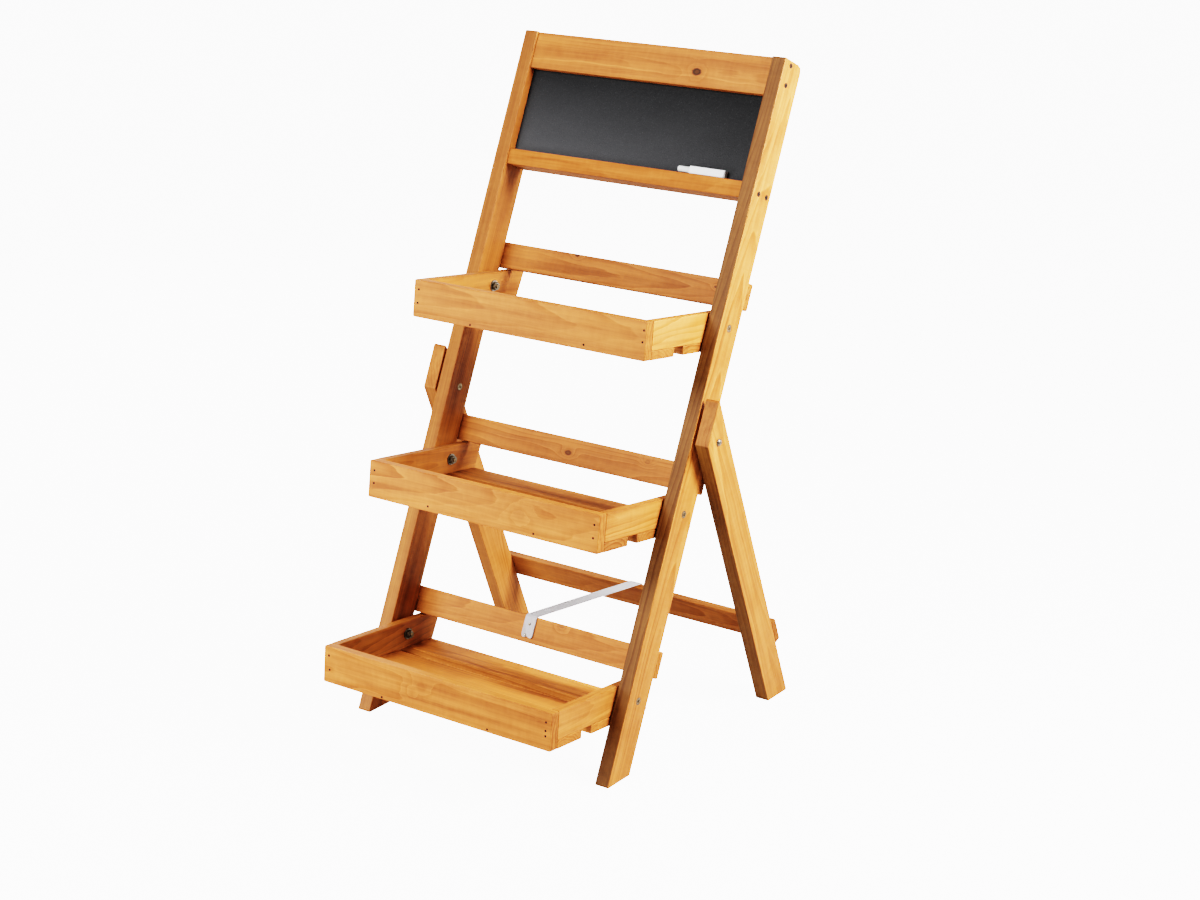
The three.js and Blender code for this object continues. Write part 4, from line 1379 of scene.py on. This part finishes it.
# The camera: its place in metres, its turns in degrees, and its sensor's width in millimetres
CAMERA_PLACE = Vector((1.464703, -1.983909, 1.120945))
CAMERA_YAW = 35.235
CAMERA_PITCH = -18.246
CAMERA_ROLL = 0.187
SENSOR_WIDTH = 36.0


def aim(place, target):
    """The placing of a lamp at a place, shining at a target."""
    spin = (Vector(target) - Vector(place)).to_track_quat("-Z", "Y")
    return Matrix.Translation(place) @ spin.to_matrix().to_4x4()


def soft_lamp(name, place, target, size, power):
    """A square soft box, which the camera doesn't see."""
    lamp = bpy.data.lights.new(name, "AREA")
    lamp.shape = "SQUARE"
    lamp.size = size
    lamp.energy = power
    holder = bpy.data.objects.new(name, lamp)
    holder.matrix_world = aim(place, target)
    holder.visible_camera = False
    holder.visible_diffuse = name not in REFLECTED_ONLY
    bpy.context.scene.collection.objects.link(holder)


def floor_material(colour, brightness):
    """White paper with a glow that only the camera sees, as bright as the backdrop."""
    made, tree, shader = material(
        "floor_paper", Roughness=0.9, Specular_IOR_Level=0.1, Emission_Strength=brightness)
    clouds = tree.noise(object_place(tree), *PAPER_CLOUDS)
    seen = tree.node("ShaderNodeLightPath").outputs["Is Camera Ray"]
    feed(
        tree, shader,
        Base_Color=tree.mix(clouds, colour, [part * PAPER_SHADE for part in colour]),
        Emission_Color=tree.mix(seen, BLACK, WHITE))
    return made


def studio_world(brightness, light):
    """White surroundings, brighter to look at than they are as a light."""
    world = bpy.data.worlds.new("studio")
    world.use_nodes = True
    tree = Tree(world.node_tree)
    seen = tree.node("ShaderNodeLightPath").outputs["Is Camera Ray"]
    strength = tree.math("MULTIPLY_ADD", seen, brightness - light, light)
    background = tree.node("ShaderNodeBackground", {"Color": WHITE, "Strength": strength})
    tree.node("ShaderNodeOutputWorld", {"Surface": background.outputs["Background"]})
    return world


def photo_camera(focal_length):
    """The camera of the photograph's view."""
    lens = bpy.data.cameras.new("camera")
    lens.sensor_width = SENSOR_WIDTH
    lens.lens = focal_length
    camera = bpy.data.objects.new("camera", lens)
    turn = (
        Matrix.Rotation(math.radians(CAMERA_YAW), 4, "Z")
        @ Matrix.Rotation(math.radians(90 + CAMERA_PITCH), 4, "X")
        @ Matrix.Rotation(math.radians(CAMERA_ROLL), 4, "Z"))
    camera.matrix_world = Matrix.Translation(CAMERA_PLACE) @ turn
    return camera


class PLANTSTAND_OT_stage(bpy.types.Operator):
    """Set the floor, the lamps and the camera"""

    bl_idname = "plant_stand.stage"
    bl_label = "Studio"

    def execute(self, context):
        scene = context.scene
        stage = scene.plant_stand_stage
        scene.view_settings.view_transform = "Filmic"
        scene.view_settings.look = "Very High Contrast"
        bm = bmesh.new()
        bmesh.ops.create_grid(bm, x_segments=1, y_segments=1, size=FLOOR_REACH)
        mesh = bpy.data.meshes.new("floor")
        bm.to_mesh(mesh)
        bm.free()
        floor = bpy.data.objects.new("floor", mesh)
        scene.collection.objects.link(floor)
        dress(floor, floor_material(stage.floor_colour, stage.backdrop))
        scene.world = studio_world(stage.backdrop, stage.sky)
        for name, (place, target, size) in LAMPS.items():
            soft_lamp(name, place, target, size, getattr(stage, name))
        camera = photo_camera(stage.lens)
        scene.collection.objects.link(camera)
        scene.camera = camera
        return {"FINISHED"}


# ---------------------------------------------------------------- panel and registration


OPERATORS = (
    PLANTSTAND_OT_boards,
    PLANTSTAND_OT_chalkboard,
    PLANTSTAND_OT_hardware,
    PLANTSTAND_OT_fastenings,
    PLANTSTAND_OT_strap,
    PLANTSTAND_OT_stage,
)
SETTINGS = {
    "plant_stand_wood": PlantStandWood,
    "plant_stand_details": PlantStandDetails,
    "plant_stand_stage": PlantStandStage,
}


class PLANTSTAND_PT_panel(bpy.types.Panel):
    """Lists the steps and settings of the plant stand"""

    bl_idname = "PLANTSTAND_PT_panel"
    bl_label = "Plant Stand"
    bl_space_type = "VIEW_3D"
    bl_region_type = "UI"
    bl_category = "Plant Stand"

    def draw(self, context):
        layout = self.layout
        for operator in OPERATORS:
            layout.operator(operator.bl_idname)
        for name, group in SETTINGS.items():
            box = layout.box()
            for setting in group.__annotations__:
                box.prop(getattr(context.scene, name), setting)


CLASSES = (*SETTINGS.values(), *OPERATORS, PLANTSTAND_PT_panel)


def register():
    """Adds the classes and the settings."""
    for item in CLASSES:
        bpy.utils.register_class(item)
    for name, group in SETTINGS.items():
        setattr(bpy.types.Scene, name, PointerProperty(type=group))


def unregister():
    """Takes the settings and the classes away."""
    for name in SETTINGS:
        delattr(bpy.types.Scene, name)
    for item in reversed(CLASSES):
        bpy.utils.unregister_class(item)


def main():
    """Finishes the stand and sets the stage."""
    register()
    for operator in OPERATORS:
        space, name = operator.bl_idname.split(".")
        getattr(getattr(bpy.ops, space), name)()


if __name__ == "__main__":
    main()
